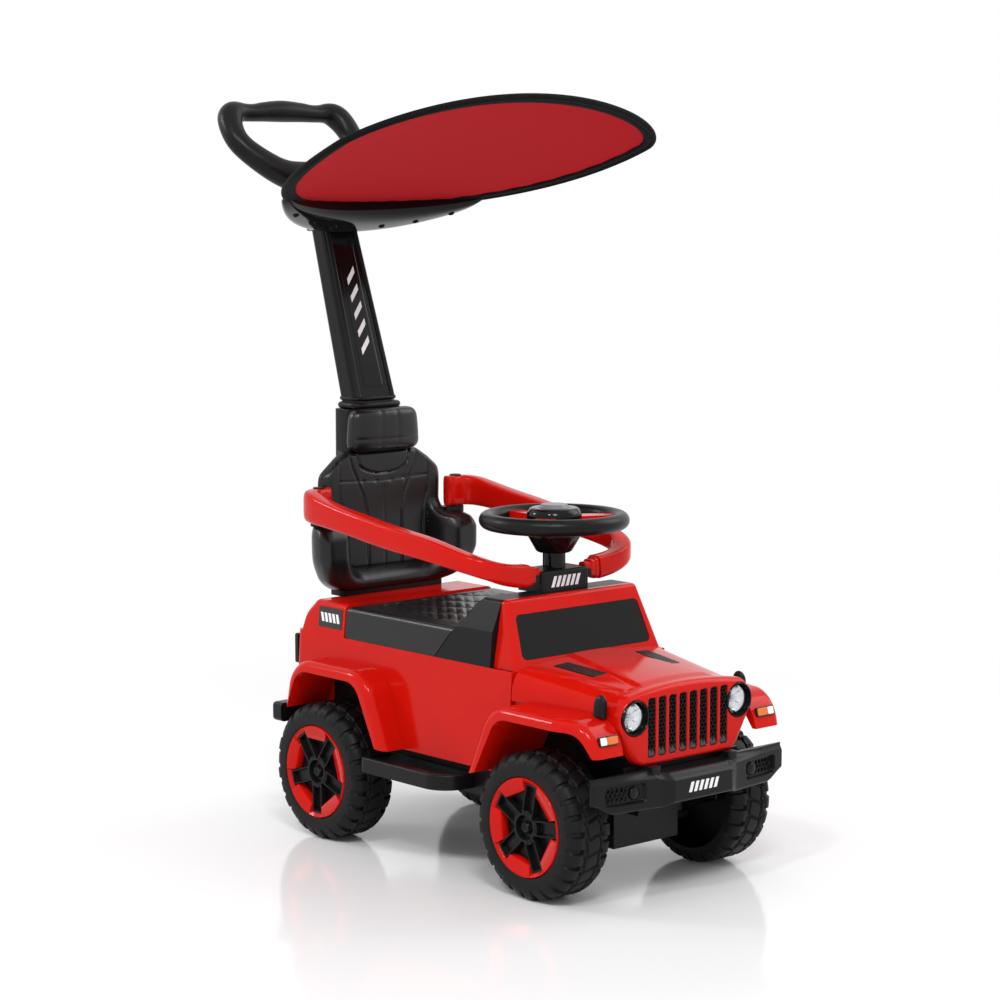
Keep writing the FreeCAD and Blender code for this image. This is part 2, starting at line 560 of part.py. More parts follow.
hood_back_y = s.screen_low_y + s.seat_gap
hood_low = deck_top
drop = s.hood_front_drop
hood = Part.makeLoft([hood_section(-hood_back_y, s.hood_back_half, s.hood_edge_z, s.hood_crown_z, hood_low),
                      hood_section(-s.hood_front_y, s.hood_front_half, s.hood_edge_z - drop,
                                   s.hood_crown_z - s.hood_crown_fall, hood_low)], True)
hood = rounded(hood, s.hood_round, lambda e: abs(e.BoundBox.XMin) > s.hood_front_half - s.overrun
               and e.BoundBox.XLength < 2 * s.overrun and e.BoundBox.YLength > s.hood_half
               and e.BoundBox.ZMin > hood_low + s.run_gap)
hood_outer = hood
hood = hood.cut(Part.makeLoft([hood_section(s.hood_wall - hood_back_y, s.hood_back_half - s.hood_wall,
                                            s.hood_edge_z - s.hood_wall,
                                            s.hood_crown_z - s.hood_wall - drop, hood_low - s.overrun),
                               hood_section(s.hood_wall - s.hood_front_y, s.hood_front_half - s.hood_wall,
                                            s.hood_edge_z - s.hood_wall - drop,
                                            s.hood_crown_z - s.hood_crown_fall - s.hood_wall - drop,
                                            hood_low - s.overrun)], True))
vent_z = s.hood_edge_z + (s.hood_crown_z - s.hood_edge_z) * (1 - (s.vent_x / s.hood_half) ** 2) - drop
vent_area = [(s.vent_x - s.vent_width / 2, -s.vent_front_y, s.vent_slot),
             (s.vent_x + s.vent_width / 2, -s.vent_front_y, s.vent_slot),
             (s.vent_x + s.vent_width / 2, -s.vent_back_y, s.vent_slot),
             (s.vent_x - s.vent_width / 2, -s.vent_back_y, s.vent_slot)]


def grown(points, size):
    # a plan outline about its own middle, larger by size on each side
    middle_x = sum(p[0] for p in points) / len(points)
    middle_y = sum(p[1] for p in points) / len(points)
    return [(x + math.copysign(size, x - middle_x), y + math.copysign(size, y - middle_y), radius)
            for x, y, radius in points]


def under_hood(shape, rise):
    # the part of a shape that lies below the bonnet surface lifted by rise
    skin = hood_outer.copy()
    skin.translate(upward * rise)
    return shape.common(skin)


vent_floor = vent_z - s.vent_depth
vent_boss = plan_prism(grown(vent_area, s.hood_wall), vent_floor - s.hood_wall, s.hood_crown_z)
vent_recess = plan_prism(grown(vent_area, s.seat_gap), vent_floor, s.hood_crown_z + s.overrun)
hood = hood.fuse(pair(under_hood(vent_boss, 0))).cut(pair(vent_recess))
vent_blank = plan_prism(vent_area, vent_floor, s.hood_crown_z + s.overrun)
vent = under_hood(vent_blank, s.vent_proud)
step = (s.vent_front_y - s.vent_back_y) / s.vent_slots
for i in range(int(s.vent_slots)):
    slot_y = -s.vent_front_y + step * i + step / 2
    vent = vent.cut(block(s.vent_x - s.vent_width / 2 + s.vent_slot,
                          s.vent_x + s.vent_width / 2 - s.vent_slot, slot_y - s.vent_slot / 2,
                          slot_y + s.vent_slot / 2, vent_floor, s.hood_crown_z + s.overrun))
vent = vent.fuse(under_hood(vent_blank, s.vent_proud - s.vent_slot_depth))
solid("hood_panel", hood)
solid("hood_vents", Part.makeCompound(pair(vent)))

latch = block(s.hood_half + s.seat_gap, s.hood_half + s.seat_gap + s.latch_thick,
              -s.latch_y - s.latch_length / 2, -s.latch_y + s.latch_length / 2, deck_top,
              deck_top + s.latch_height)
latch = rounded(latch, s.latch_thick / 4, lambda e: e.BoundBox.ZMax > deck_top + s.run_gap)
solid("hood_latches", Part.makeCompound(pair(latch)))

grille_back = -s.hood_front_y - s.seat_gap
grille_front = grille_back - s.grille_thick
edge_z = s.hood_edge_z - drop
crown_z = s.hood_crown_z - s.hood_crown_fall
half_face = [(s.grille_low_half, s.grille_low_z, s.grille_round),
             (s.hood_front_half + s.bezel_wall, s.lamp_z, s.lamp_radius),
             (s.hood_front_half, edge_z, s.hood_round),
             (s.hood_front_half / 2, crown_z - 2 * drop, s.hood_half)]
grille = front_prism(half_face + [(0, crown_z, 2 * s.hood_half)] + [(-p[0],) + p[1:]
                                                                    for p in reversed(half_face)],
                     grille_front, grille_back)
grille = rounded(grille, s.brow_round, lambda e: e.BoundBox.YMax < grille_front + s.run_gap)
slot_centres = [(i - (s.slot_count - 1) / 2) * s.slot_pitch for i in range(int(s.slot_count))]
slot_drop_share = 0.03
for x in slot_centres:
    fall = abs(x) * slot_drop_share
    low, high = s.slot_low_z + fall, s.slot_high_z - fall
    corner = s.slot_width / 3
    opening = [(x - s.slot_width / 2, low, corner), (x + s.slot_width / 2, low, corner),
               (x + s.slot_width / 2, high, corner), (x - s.slot_width / 2, high, corner)]
    grille = grille.cut(front_prism(opening, grille_front - s.overrun, grille_back + s.overrun))
insert_half = slot_centres[-1] + s.slot_width / 2 + s.insert_margin / 2
insert_area = (s.slot_low_z - s.insert_margin, s.slot_high_z + s.insert_margin)
grille = grille.cut(block(-insert_half - s.seat_gap, insert_half + s.seat_gap,
                          grille_back - s.insert_thick - s.seat_gap, grille_back + s.overrun,
                          insert_area[0] - s.seat_gap, insert_area[1] + s.seat_gap))
lamp_hole = rod(s.lamp_radius + s.seat_gap, Vector(s.lamp_x, grille_front - s.overrun, s.lamp_z),
                Vector(s.lamp_x, grille_back + s.overrun, s.lamp_z))
grille = grille.cut(pair(lamp_hole))
solid("grille_panel", grille)
solid("grille_insert", block(-insert_half, insert_half, grille_back - s.insert_thick, grille_back,
                             *insert_area))


def lamp_disc(radius, low, high):
    return rod(radius, Vector(s.lamp_x, low, s.lamp_z), Vector(s.lamp_x, high, s.lamp_z))


bezel_front = grille_front - s.bezel_proud
lens_radius = s.lamp_radius - s.bezel_wall - s.seat_gap
bezel = lamp_disc(s.lamp_radius, bezel_front, grille_back).cut(
    lamp_disc(s.lamp_radius - s.bezel_wall, bezel_front - s.overrun, grille_back + s.overrun))
solid("headlight_bezels", Part.makeCompound(pair(bezel)))
bowl_depth = s.bowl_deep
bowl = lamp_disc(lens_radius, grille_back - bowl_depth, grille_back).cut(
    Part.makeCone(lens_radius - s.bezel_wall / 2, lens_radius / 3, bowl_depth - s.bezel_wall / 2,
                  Vector(s.lamp_x, grille_back - bowl_depth, s.lamp_z), along))
solid("headlight_reflectors", Part.makeCompound(pair(bowl)))
lens_back = grille_back - bowl_depth - s.seat_gap
lens = rounded(lamp_disc(lens_radius, lens_back - s.lens_thick, lens_back), s.lens_thick / 2,
               lambda e: e.BoundBox.YMax < lens_back - s.run_gap)
solid("headlight_lenses", Part.makeCompound(pair(lens)))

tip_front = s.front_tip_y + s.flare_leg * tip_leg_share
tip_high = s.front_arch_front_y + s.flare_leg
tip_high_z = s.front_arch_z + s.flare_top
tip_slope = math.degrees(math.atan2(tip_front - tip_high, tip_high_z - s.front_tip_z))
marker = block(s.marker_x - s.marker_width / 2, s.marker_x + s.marker_width / 2, -s.marker_thick, 0,
               -s.marker_height / 2, s.marker_height / 2)
marker.rotate(centre, across, -tip_slope)
marker_along = (s.marker_z - s.front_tip_z) / (tip_high_z - s.front_tip_z)
marker.translate(Vector(0, -tip_front + (tip_front - tip_high) * marker_along - s.seat_gap, s.marker_z))
solid("marker_lamps", Part.makeCompound(pair(marker)))


# windshield and dash
screen_tall = math.hypot(s.screen_low_y - s.screen_top_y, s.cowl_z - s.belt_z)
rake = math.degrees(math.atan2(s.screen_low_y - s.screen_top_y, s.cowl_z - s.belt_z))


def on_screen(shape):
    shape.rotate(centre, across, 90 - rake)
    shape.translate(Vector(0, -s.screen_low_y, s.belt_z))
    return shape


def along_screen(z):
    return (z - s.belt_z) / math.cos(math.radians(rake))


def screen_front(inset):
    half = [(s.screen_low_half - inset, s.belt_z - s.overrun), (s.screen_low_half - inset, s.belt_z),
            (s.cowl_half - inset, s.cowl_z - inset)]
    return front_prism(half + [(-x, z) for x, z in reversed(half)], -far, far)


screen = side_prism([(-s.screen_low_y, s.belt_z), (-s.screen_top_y, s.cowl_z), (-s.screen_back_y, s.cowl_z),
                     (-s.screen_back_y, s.belt_z)], -s.sill_half, s.sill_half).common(screen_front(0))
screen = rounded(screen, s.screen_round, lambda e: e.BoundBox.ZMax > s.belt_z + s.run_gap
                 and e.BoundBox.YMin < -s.screen_back_y - s.run_gap)
screen = screen.cut(side_prism([(s.screen_wall - s.screen_low_y, s.belt_z - s.overrun),
                                (s.screen_wall - s.screen_low_y, s.belt_z),
                                (s.screen_wall - s.screen_top_y, s.cowl_z - s.screen_wall),
                                (s.overrun - s.screen_back_y, s.cowl_z - s.screen_wall),
                                (s.overrun - s.screen_back_y, s.belt_z - s.overrun)], -s.sill_half,
                               s.sill_half).common(screen_front(s.screen_wall)))


def pane_area(grow):
    low, high = along_screen(s.pane_low_z) - grow, along_screen(s.pane_top_z) + grow
    return [(-s.pane_low_half - grow, low, s.pane_round), (s.pane_low_half + grow, low, s.pane_round),
            (s.pane_top_half + grow, high, s.pane_round), (-s.pane_top_half - grow, high, s.pane_round)]


pane_floor = -s.pane_sink - s.pane_thick
screen = screen.cut(on_screen(plan_prism(pane_area(s.seat_gap), pane_floor, s.overrun)))
solid("windshield_frame", screen)
solid("windshield_panel", on_screen(plan_prism(pane_area(0), pane_floor, -s.pane_sink)))

dash_front = -s.screen_back_y + s.seat_gap
dash = side_prism([(-s.dash_lip_y, s.dash_lip_z), (-s.dash_rise_y, s.dash_rise_z),
                   (-s.dash_top_y, s.cowl_z), (dash_front, s.cowl_z), (dash_front, s.belt_z),
                   (s.dash_rear_y, s.belt_z)], -s.sill_half, s.sill_half).common(cabin(0))
dash = rounded(dash, s.dash_round, lambda e: e.BoundBox.YLength > s.overrun
               and abs(e.BoundBox.XMin) > s.cowl_half - s.overrun
               and e.BoundBox.ZMin > s.dash_lip_z - s.run_gap)
dash_in = side_prism([(-s.dash_lip_y - s.dash_wall, s.dash_lip_z),
                      (-s.dash_rise_y - s.dash_wall, s.dash_rise_z - s.dash_wall),
                      (-s.dash_top_y - s.dash_wall, s.cowl_z - s.dash_wall),
                      (dash_front + s.dash_wall, s.cowl_z - s.dash_wall),
                      (dash_front + s.dash_wall, s.belt_z - s.overrun),
                      (s.dash_rear_y - s.dash_wall, s.belt_z - s.overrun)], -s.sill_half,
                     s.sill_half).common(cabin(s.dash_wall))
dash = dash.cut(dash_in).cut(rod(s.shaft_radius + s.slide_gap, Vector(0, -s.steer_y, 0),
                                 Vector(0, -s.steer_y, s.cowl_z + s.overrun)))
solid("dash_console", dash)


# bumpers and tail lamps
half_plan = [(s.bumper_mid_half, -s.bumper_front_y), (s.bumper_knee_half, -s.bumper_knee_y),
             (s.bumper_end_half, -s.bumper_end_y), (s.bumper_end_half, -s.bumper_thin_y),
             (s.bumper_thin_half, -s.bumper_thin_y), (s.bumper_thin_half, -s.bumper_back_y)]
bumper = plan_prism(half_plan + [(-x, y) for x, y in reversed(half_plan)], s.bumper_low_z, s.bumper_high_z)
half_face = [(s.bumper_end_half - s.bumper_cut, s.bumper_low_z),
             (s.bumper_end_half, s.bumper_low_z + s.bumper_lift), (s.bumper_end_half, s.bumper_high_z)]
bumper = bumper.common(front_prism(half_face + [(-x, z) for x, z in reversed(half_face)], -far, far))
bumper = rounded(bumper, s.bumper_round, lambda e: e.BoundBox.YMax < -s.bumper_end_y + s.run_gap
                 and e.BoundBox.ZLength < s.bumper_lift + s.run_gap)
pocket_slope = math.degrees(math.atan2(s.bumper_knee_y - s.bumper_end_y,
                                       s.bumper_end_half - s.bumper_knee_half))
pocket_y = -s.bumper_knee_y + (s.pocket_x - s.bumper_knee_half) * math.tan(math.radians(pocket_slope))
pocket_z = (s.bumper_low_z + s.bumper_high_z) / 2


def on_bumper(shape):
    shape.rotate(centre, upward, pocket_slope)
    shape.translate(Vector(s.pocket_x, pocket_y, pocket_z))
    return pair(shape)


corner = s.pocket_height / 4
pocket = [(-s.pocket_width / 2, -s.pocket_height / 2, corner),
          (s.pocket_width / 2, -s.pocket_height / 2, corner),
          (s.pocket_width / 2, s.pocket_height / 2, corner),
          (-s.pocket_width / 2, s.pocket_height / 2, corner)]
bumper = bumper.cut(on_bumper(front_prism(pocket, -s.overrun, s.pocket_depth)))
hook = front_prism([(s.hook_x - s.hook_width / 2, s.bumper_high_z - s.hook_rise),
                    (s.hook_x + s.hook_width / 2, s.bumper_high_z - s.hook_rise),
                    (s.hook_x + s.hook_width / 3, s.bumper_high_z + s.hook_rise, s.hook_width / 4),
                    (s.hook_x - s.hook_width / 3, s.bumper_high_z + s.hook_rise, s.hook_width / 4)],
                   -s.bumper_knee_y + s.bumper_round, -s.bumper_knee_y + s.bumper_round + s.hook_depth)
stay = block(s.stay_x - s.stay_width / 2, s.stay_x + s.stay_width / 2, -s.bumper_back_y, -s.carrier_front_y,
             s.bumper_low_z, s.bumper_low_z + s.stay_height)
bumper = bumper.fuse(pair(hook) + pair(stay))
solid("front_bumper", bumper)
fog = rod(s.fog_radius, Vector(-s.fog_in, s.pocket_depth - s.fog_thick, 0),
          Vector(-s.fog_in, s.pocket_depth, 0))
solid("fog_lamps", Part.makeCompound(on_bumper(fog)))

tail_bumper = block(-s.tail_bumper_half, s.tail_bumper_half, s.tail_y, s.tail_y + s.tail_bumper_depth,
                    s.tail_bumper_low_z, s.tail_bumper_high_z)
tail_bumper = rounded(tail_bumper, s.tail_bumper_round, lambda e: e.BoundBox.YMax > s.tail_y + s.run_gap)
solid("rear_bumper", tail_bumper)
tail_lamp = block(s.tail_lamp_x - s.tail_lamp_width / 2, s.tail_lamp_x + s.tail_lamp_width / 2, s.tail_y,
                  s.tail_y + s.tail_lamp_thick, s.tail_lamp_z - s.tail_lamp_height / 2,
                  s.tail_lamp_z + s.tail_lamp_height / 2)
tail_lamp = rounded(tail_lamp, s.tail_lamp_thick / 3, lambda e: e.BoundBox.YMax > s.tail_y + s.run_gap)
solid("tail_lamps", Part.makeCompound(pair(tail_lamp)))


# floor pan with the footboard channels, rear axle blocks and front axle carrier
pan = block(-s.pan_half, s.pan_half, -s.pan_front_y, s.pan_back_y, s.pan_low_z, s.sill_z)
channel_y = (-s.board_front_y - s.slide_gap, s.board_back_y + s.slide_gap)
channel_z = (s.board_low_z - s.slide_gap, s.board_top_z + s.slide_gap)
pan = pan.cut(pair(block(s.pan_rib, s.pan_half + s.overrun, *channel_y, *channel_z)))
pan = pan.cut(block(s.pan_wall - s.pan_half, s.pan_half - s.pan_wall, s.pan_wall - s.pan_front_y,
                    s.pan_back_y - s.pan_wall, channel_z[1] + s.pan_wall, s.sill_z + s.overrun))
pan = pan.cut(block(s.pan_wall - s.pan_rib, s.pan_rib - s.pan_wall, s.pan_wall - s.pan_front_y,
                    s.pan_back_y - s.pan_wall, s.pan_low_z + s.pan_plate, s.sill_z + s.overrun))
spine = block(-s.spine_half, s.spine_half, s.pan_back_y, s.spine_back_y, s.pan_low_z, s.sill_z)
spine = spine.cut(block(s.pan_wall - s.spine_half, s.spine_half - s.pan_wall, s.pan_back_y,
                        s.spine_back_y - s.pan_wall, s.pan_low_z + s.pan_plate, s.sill_z + s.overrun))
axle_block = block(s.spine_half - s.pan_wall, s.rear_well - s.pan_wall, s.half_base - s.axle_block_depth,
                   s.half_base + s.axle_block_depth, s.axle_block_low_z, s.sill_z)
carrier = block(-s.carrier_half, s.carrier_half, -s.carrier_front_y, -s.carrier_back_y, s.carrier_low_z,
                s.carrier_high_z)
carrier = carrier.cut(block(s.pan_wall - s.carrier_half, s.carrier_half - s.pan_wall,
                            s.pan_wall - s.carrier_front_y, -s.pan_wall - s.carrier_back_y,
                            s.carrier_low_z - s.overrun, s.carrier_high_z - s.pan_wall))
ears = [block(-s.ear_half, s.ear_half, -s.half_base - s.ear_depth, s.ear_depth - s.half_base, low,
              low + s.ear_thick) for low in (s.ear_low_z, s.ear_high_z)]
tower = block(-s.post_half, s.post_half, -s.half_base - s.post_depth, s.post_depth - s.half_base,
              s.carrier_high_z, deck_top - s.wall)
tower = tower.cut(block(s.pan_wall - s.post_half, s.post_half - s.pan_wall,
                        s.pan_wall - s.half_base - s.post_depth, s.post_depth - s.pan_wall - s.half_base,
                        s.carrier_high_z, deck_top - s.wall - s.pan_wall))
bridge = block(-s.tunnel_half, s.tunnel_half, -s.carrier_back_y, s.pan_wall - s.steer_y + s.crank_arm,
               s.bridge_low_z, s.bridge_high_z)
bridge = bridge.cut(block(s.pan_wall - s.tunnel_half, s.tunnel_half - s.pan_wall, -s.carrier_back_y,
                          s.crank_arm - s.steer_y, s.bridge_low_z - s.overrun,
                          s.bridge_high_z - s.pan_wall))
riser = block(-s.tunnel_half, s.tunnel_half, s.crank_arm - s.steer_y + s.stem_width,
              s.crank_arm - s.steer_y + s.stem_width + s.pan_wall, s.bridge_low_z,
              s.pan_low_z + s.pan_plate)
floor = block(-s.tunnel_half, s.tunnel_half, s.pan_wall - s.steer_y + s.crank_arm,
              s.crank_arm - s.steer_y + s.stem_width, s.bridge_high_z - s.pan_wall, s.bridge_high_z)
chassis = pan.fuse([spine, carrier, tower, bridge, riser, floor] + pair(axle_block) + ears)
tunnel = block(-s.tunnel_half, s.tunnel_half, -s.carrier_back_y, s.crank_arm - s.steer_y + s.stem_width,
               s.bridge_high_z, s.sill_z + s.overrun)
chassis = chassis.cut(tunnel)
axle_start, axle_end = Vector(-wheel_x, s.half_base, axle_z), Vector(wheel_x, s.half_base, axle_z)
chassis = chassis.cut(rod(s.axle_radius + s.run_gap, axle_start, axle_end))
for x in (-s.kingpin_x, s.kingpin_x):
    chassis = chassis.cut(rod(s.kingpin_radius + s.run_gap, Vector(x, -s.half_base, 0),
                              Vector(x, -s.half_base, s.sill_z)))
solid("chassis_pan", chassis)

rear_axle = rod(s.axle_radius, Vector(-axle_tip, s.half_base, axle_z),
                Vector(axle_tip, s.half_base, axle_z))
head = rod(s.axle_head, Vector(axle_tip, s.half_base, axle_z),
           Vector(axle_tip + s.axle_head_depth, s.half_base, axle_z))
solid("rear_axle", rear_axle.fuse(pair(head)))

kingpin = rod(s.kingpin_radius, Vector(s.kingpin_x, -s.half_base, s.ear_low_z),
              Vector(s.kingpin_x, -s.half_base, s.ear_high_z + s.ear_thick))
hinge_pin = rod(s.hinge_radius, Vector(s.post_x - s.lid_gap, s.hinge_y, s.hinge_z),
                Vector(s.deck_half - s.lid_gap, s.hinge_y, s.hinge_z))
guard_top = s.guard_low_z + s.guard_rear_height
guard_pin = rod(s.guard_pin_radius, Vector(s.guard_pin_x, s.guard_pin_y, s.guard_low_z - s.lug_thick / 2),
                Vector(s.guard_pin_x, s.guard_pin_y, guard_top + s.seat_gap))
solid("hinge_pins", Part.makeCompound(pair(kingpin) + pair(hinge_pin) + pair(guard_pin)))


# front steering: knuckles, tie bar and shaft
def slot(x, y, side, run, low, high):
    return block(x - side, x + side, y - run, y + run, low, high)


link_y = s.knuckle_arm - s.half_base
bar_low = s.arm_high_z + s.seat_gap
bar_high = bar_low + s.bar_thick
pin_reach = bar_high + s.seat_gap
sleeve_low, sleeve_high = s.ear_low_z + s.ear_thick + s.seat_gap, s.ear_high_z - s.seat_gap
king = Vector(s.kingpin_x, -s.half_base, 0)
knuckle = rod(s.sleeve_radius, king + upward * sleeve_low, king + upward * sleeve_high)
shoulder_x = wheel_x - s.wheel_width / 2 - s.seat_gap
knuckle = knuckle.fuse([rod(s.stub_shoulder, king + upward * axle_z,
                            Vector(shoulder_x, -s.half_base, axle_z)),
                        rod(s.axle_radius, king + upward * axle_z, Vector(axle_tip, -s.half_base, axle_z)),
                        rod(s.axle_head, Vector(axle_tip, -s.half_base, axle_z),
                            Vector(axle_tip + s.axle_head_depth, -s.half_base, axle_z)),
                        block(s.kingpin_x - s.arm_width / 2, s.kingpin_x + s.arm_width / 2, -s.half_base,
                              link_y + s.arm_width / 2, s.arm_low_z, s.arm_high_z),
                        rod(s.link_pin, Vector(s.kingpin_x, link_y, s.arm_low_z),
                            Vector(s.kingpin_x, link_y, pin_reach))])
knuckle = knuckle.cut(rod(s.kingpin_radius + s.run_gap, king, king + upward * s.sill_z))
solid("knuckle_left", knuckle)
solid("knuckle_right", mirrored(knuckle))

crank_y = s.crank_arm - s.steer_y
bar_end = s.kingpin_x + s.bar_end
bar = block(-bar_end, bar_end, link_y - s.bar_width / 2, link_y + s.bar_width / 2, bar_low, bar_high)
bar = bar.fuse(block(-s.stem_width / 2, s.stem_width / 2, link_y, crank_y + s.stem_width / 2, bar_low,
                     bar_high))
slot_half = s.link_pin + s.slot_side
slot_long = s.link_pin + s.slot_run
for x, y in ((-s.kingpin_x, link_y), (s.kingpin_x, link_y), (0, crank_y)):
    bar = bar.cut(slot(x, y, slot_half, slot_long, bar_low - s.overrun, bar_high + s.overrun))
solid("tie_bar", bar)

steer = Vector(0, -s.steer_y, 0)
crank_low = pin_reach + s.seat_gap
shaft = rod(s.shaft_radius, steer + upward * crank_low, steer + upward * (s.hub_low_z - s.seat_gap))
shaft = shaft.fuse([block(-s.stem_width / 2, s.stem_width / 2, -s.steer_y - s.stem_width / 2,
                          crank_y + s.stem_width / 2, crank_low, crank_low + s.crank_thick),
                    rod(s.link_pin, Vector(0, crank_y, bar_low), Vector(0, crank_y, crank_low))])
solid("steering_shaft", shaft)

steering_block = block(-s.block_half, s.block_half, -s.block_front_y, -s.block_back_y, s.cowl_z,
                       s.block_top_z)
steering_block = rounded(steering_block, s.block_round, lambda e: e.BoundBox.ZMax > s.cowl_z + s.run_gap)
tongue_z = s.guard_front_z + s.guard_front_height / 2
tongue_y = -s.guard_front_y
tongue = block(s.block_half - s.overrun, s.guard_end_x - s.seat_gap, tongue_y - s.guard_thick / 3,
               tongue_y + s.guard_thick / 3, tongue_z - s.guard_front_height / 3,
               s.block_top_z - s.block_round)
tip = plan_prism([(s.block_half, tongue_y - s.tongue_width / 2),
                  (s.guard_end_x, tongue_y - s.tongue_width / 2),
                  (s.guard_end_x + s.tongue_reach, tongue_y - s.tongue_width / 4),
                  (s.guard_end_x + s.tongue_reach, tongue_y + s.tongue_width / 4),
                  (s.guard_end_x, tongue_y + s.tongue_width / 2),
                  (s.block_half, tongue_y + s.tongue_width / 2)], tongue_z - s.tongue_height / 2,
                 tongue_z + s.tongue_height / 2)
steering_block = steering_block.fuse(pair(tongue) + pair(tip))
steering_block = steering_block.cut(rod(s.shaft_radius + s.run_gap, steer + upward * s.cowl_z,
                                        steer + upward * (s.block_top_z + s.overrun)))
solid("steering_block", steering_block)


# steering wheel, its hub and horn
hub = new_body("steering_hub")
horn_floor = "hub_top_z + horn_rise - horn_thick - horn_travel"
hub_profile = sketch(hub, "hub_profile", "XZ_Plane",
                     [("0", "hub_low_z"), ("shaft_radius + run_gap", "hub_low_z"),
                      ("shaft_radius + run_gap", "block_top_z + seat_gap"),
                      ("sleeve_tube", "block_top_z + seat_gap"), ("sleeve_tube", "cone_low_z"),
                      ("cone_low_radius", "cone_low_z"), ("hub_radius", "hub_low_z"),
                      ("hub_radius", "hub_top_z - horn_rise"), ("hub_radius - horn_rise", "hub_top_z"),
                      ("horn_radius + seat_gap", "hub_top_z"), ("horn_radius + seat_gap", horn_floor),
                      ("0", horn_floor)])
hub_turned = hub.newObject("PartDesign::Revolution", "hub_turned")
hub_turned.Profile = hub_profile
hub_turned.ReferenceAxis = (hub_profile, ["V_Axis"])
hub_turned.Angle = 360
bind(hub, Placement__Base__y="-steer_y - frame_shift")

horn = new_body("horn_button")
horn_low = "hub_top_z + horn_rise - horn_thick"
horn_profile = sketch(horn, "horn_profile", "XZ_Plane",
                      [("0", horn_low), ("horn_radius", horn_low), ("horn_radius", "hub_top_z"),
                       ("horn_radius - horn_rise", "hub_top_z + horn_rise"),
                       ("0", "hub_top_z + horn_rise")])
horn_turned = horn.newObject("PartDesign::Revolution", "horn_turned")
horn_turned.Profile = horn_profile
horn_turned.ReferenceAxis = (horn_profile, ["V_Axis"])
horn_turned.Angle = 360
bind(horn, Placement__Base__y="-steer_y - frame_shift")

rim = keep(document.addObject("Part::Torus", "steering_rim"), "steering_rim")
bind(rim, Radius1="rim_big", Radius2="rim_tube", Placement__Base__y="-steer_y - frame_shift",
     Placement__Base__z="wheel_z")

spoke_ring = Part.makeTorus(s.rim_big, s.rim_tube + s.run_gap)
hub_core = rod(s.hub_radius + s.run_gap, upward * (-s.spoke_thick), upward * s.spoke_thick)
spoke_turns = (0, 120, 240)
spokes = []
for turn in spoke_turns:
    arm = plan_prism([(-s.spoke_width / 2, s.hub_radius / 2), (s.spoke_width / 2, s.hub_radius / 2),
                      (s.spoke_width / 3, s.rim_big), (-s.spoke_width / 3, s.rim_big)], -s.spoke_thick / 2,
                     s.spoke_thick / 2)
    arm = arm.cut([spoke_ring, hub_core])
    arm = max(arm.Solids, key=lambda piece: piece.Volume)
    arm.rotate(centre, upward, turn)
    arm.translate(steer + upward * s.wheel_z)
    spokes.append(arm)
solid("steering_spokes", Part.makeCompound(spokes))


# seat lid on its hinge and the bin under it
lid_low = s.belt_z + s.seat_gap
lid_rear = s.hinge_y + s.lid_top_z - s.hinge_z
lid_drop, lid_tail = s.hinge_z - lid_low, lid_rear - s.hinge_y
lid_lift = lid_drop - math.sqrt(lid_drop ** 2 - lid_tail ** 2) + s.slide_gap
lid = side_prism([(s.dash_rear_y + s.lid_gap, lid_low), (s.lid_gap - s.dash_lip_y, s.lid_top_z),
                  (lid_rear, s.lid_top_z, s.lid_top_z - s.hinge_z), (lid_rear, lid_low + lid_lift),
                  (s.hinge_y, lid_low)], -s.sill_half, s.sill_half).common(cabin(0))
lid = rounded(lid, s.lid_round, lambda e: e.BoundBox.YLength > s.hinge_y
              and e.BoundBox.ZMin > s.lid_top_z - s.run_gap)
lid_in = side_prism([(s.dash_rear_y + s.lid_gap + s.lid_wall, lid_low - s.overrun),
                     (s.dash_rear_y + s.lid_gap + s.lid_wall, lid_low),
                     (s.lid_gap + s.lid_wall - s.dash_lip_y, s.lid_top_z - s.lid_wall),
                     (lid_rear - s.lid_wall, s.lid_top_z - s.lid_wall, s.lid_boss),
                     (lid_rear - s.lid_wall, lid_low - s.overrun)], -s.sill_half,
                    s.sill_half).common(cabin(s.lid_wall + s.lid_wall))
lid = lid.cut(lid_in)
notch = block(s.post_x - s.lid_gap, s.post_x + s.post_wide + s.lid_gap, s.hinge_y - s.lid_boss - s.lid_gap,
              lid_rear + s.overrun, lid_low - s.overrun, s.hinge_z + s.lid_boss + s.slide_gap / 2)
lid = lid.cut(pair(notch))
barrel = rod(s.hinge_radius + s.run_gap, Vector(s.post_x, s.hinge_y, s.hinge_z),
             Vector(s.deck_half - s.seat_gap, s.hinge_y, s.hinge_z))
lid = lid.cut(pair(barrel))
solid("seat_lid", lid)

bin_body = new_body("storage_bin")
bin_floor = "sill_z + wall"
bin_outer = sketch(bin_body, "bin_outer", "XY_Plane",
                   [("-bin_half", "bin_front_y"), ("bin_half", "bin_front_y"), ("bin_half", "bin_back_y"),
                    ("-bin_half", "bin_back_y")])
bin_pad = bin_body.newObject("PartDesign::Pad", "bin_pad")
bin_pad.Profile = bin_outer
bind(bin_outer, AttachmentOffset__Base__z=bin_floor)
bind(bin_pad, Length="bin_top_z - sill_z - wall")
document.recompute()
bin_inner = sketch(bin_body, "bin_inner", "XY_Plane", [
    ("bin_wall - bin_half", "bin_front_y + bin_wall"), ("bin_half - bin_wall", "bin_front_y + bin_wall"),
    ("bin_half - bin_wall", "bin_back_y - bin_wall"), ("bin_wall - bin_half", "bin_back_y - bin_wall")])
bind(bin_inner, AttachmentOffset__Base__z="bin_top_z")
bin_pocket = bin_body.newObject("PartDesign::Pocket", "bin_pocket")
bin_pocket.Profile = bin_inner
bind(bin_pocket, Length="bin_top_z - sill_z - wall - bin_wall")
document.recompute()
bind(bin_body, Placement__Base__y="-frame_shift")


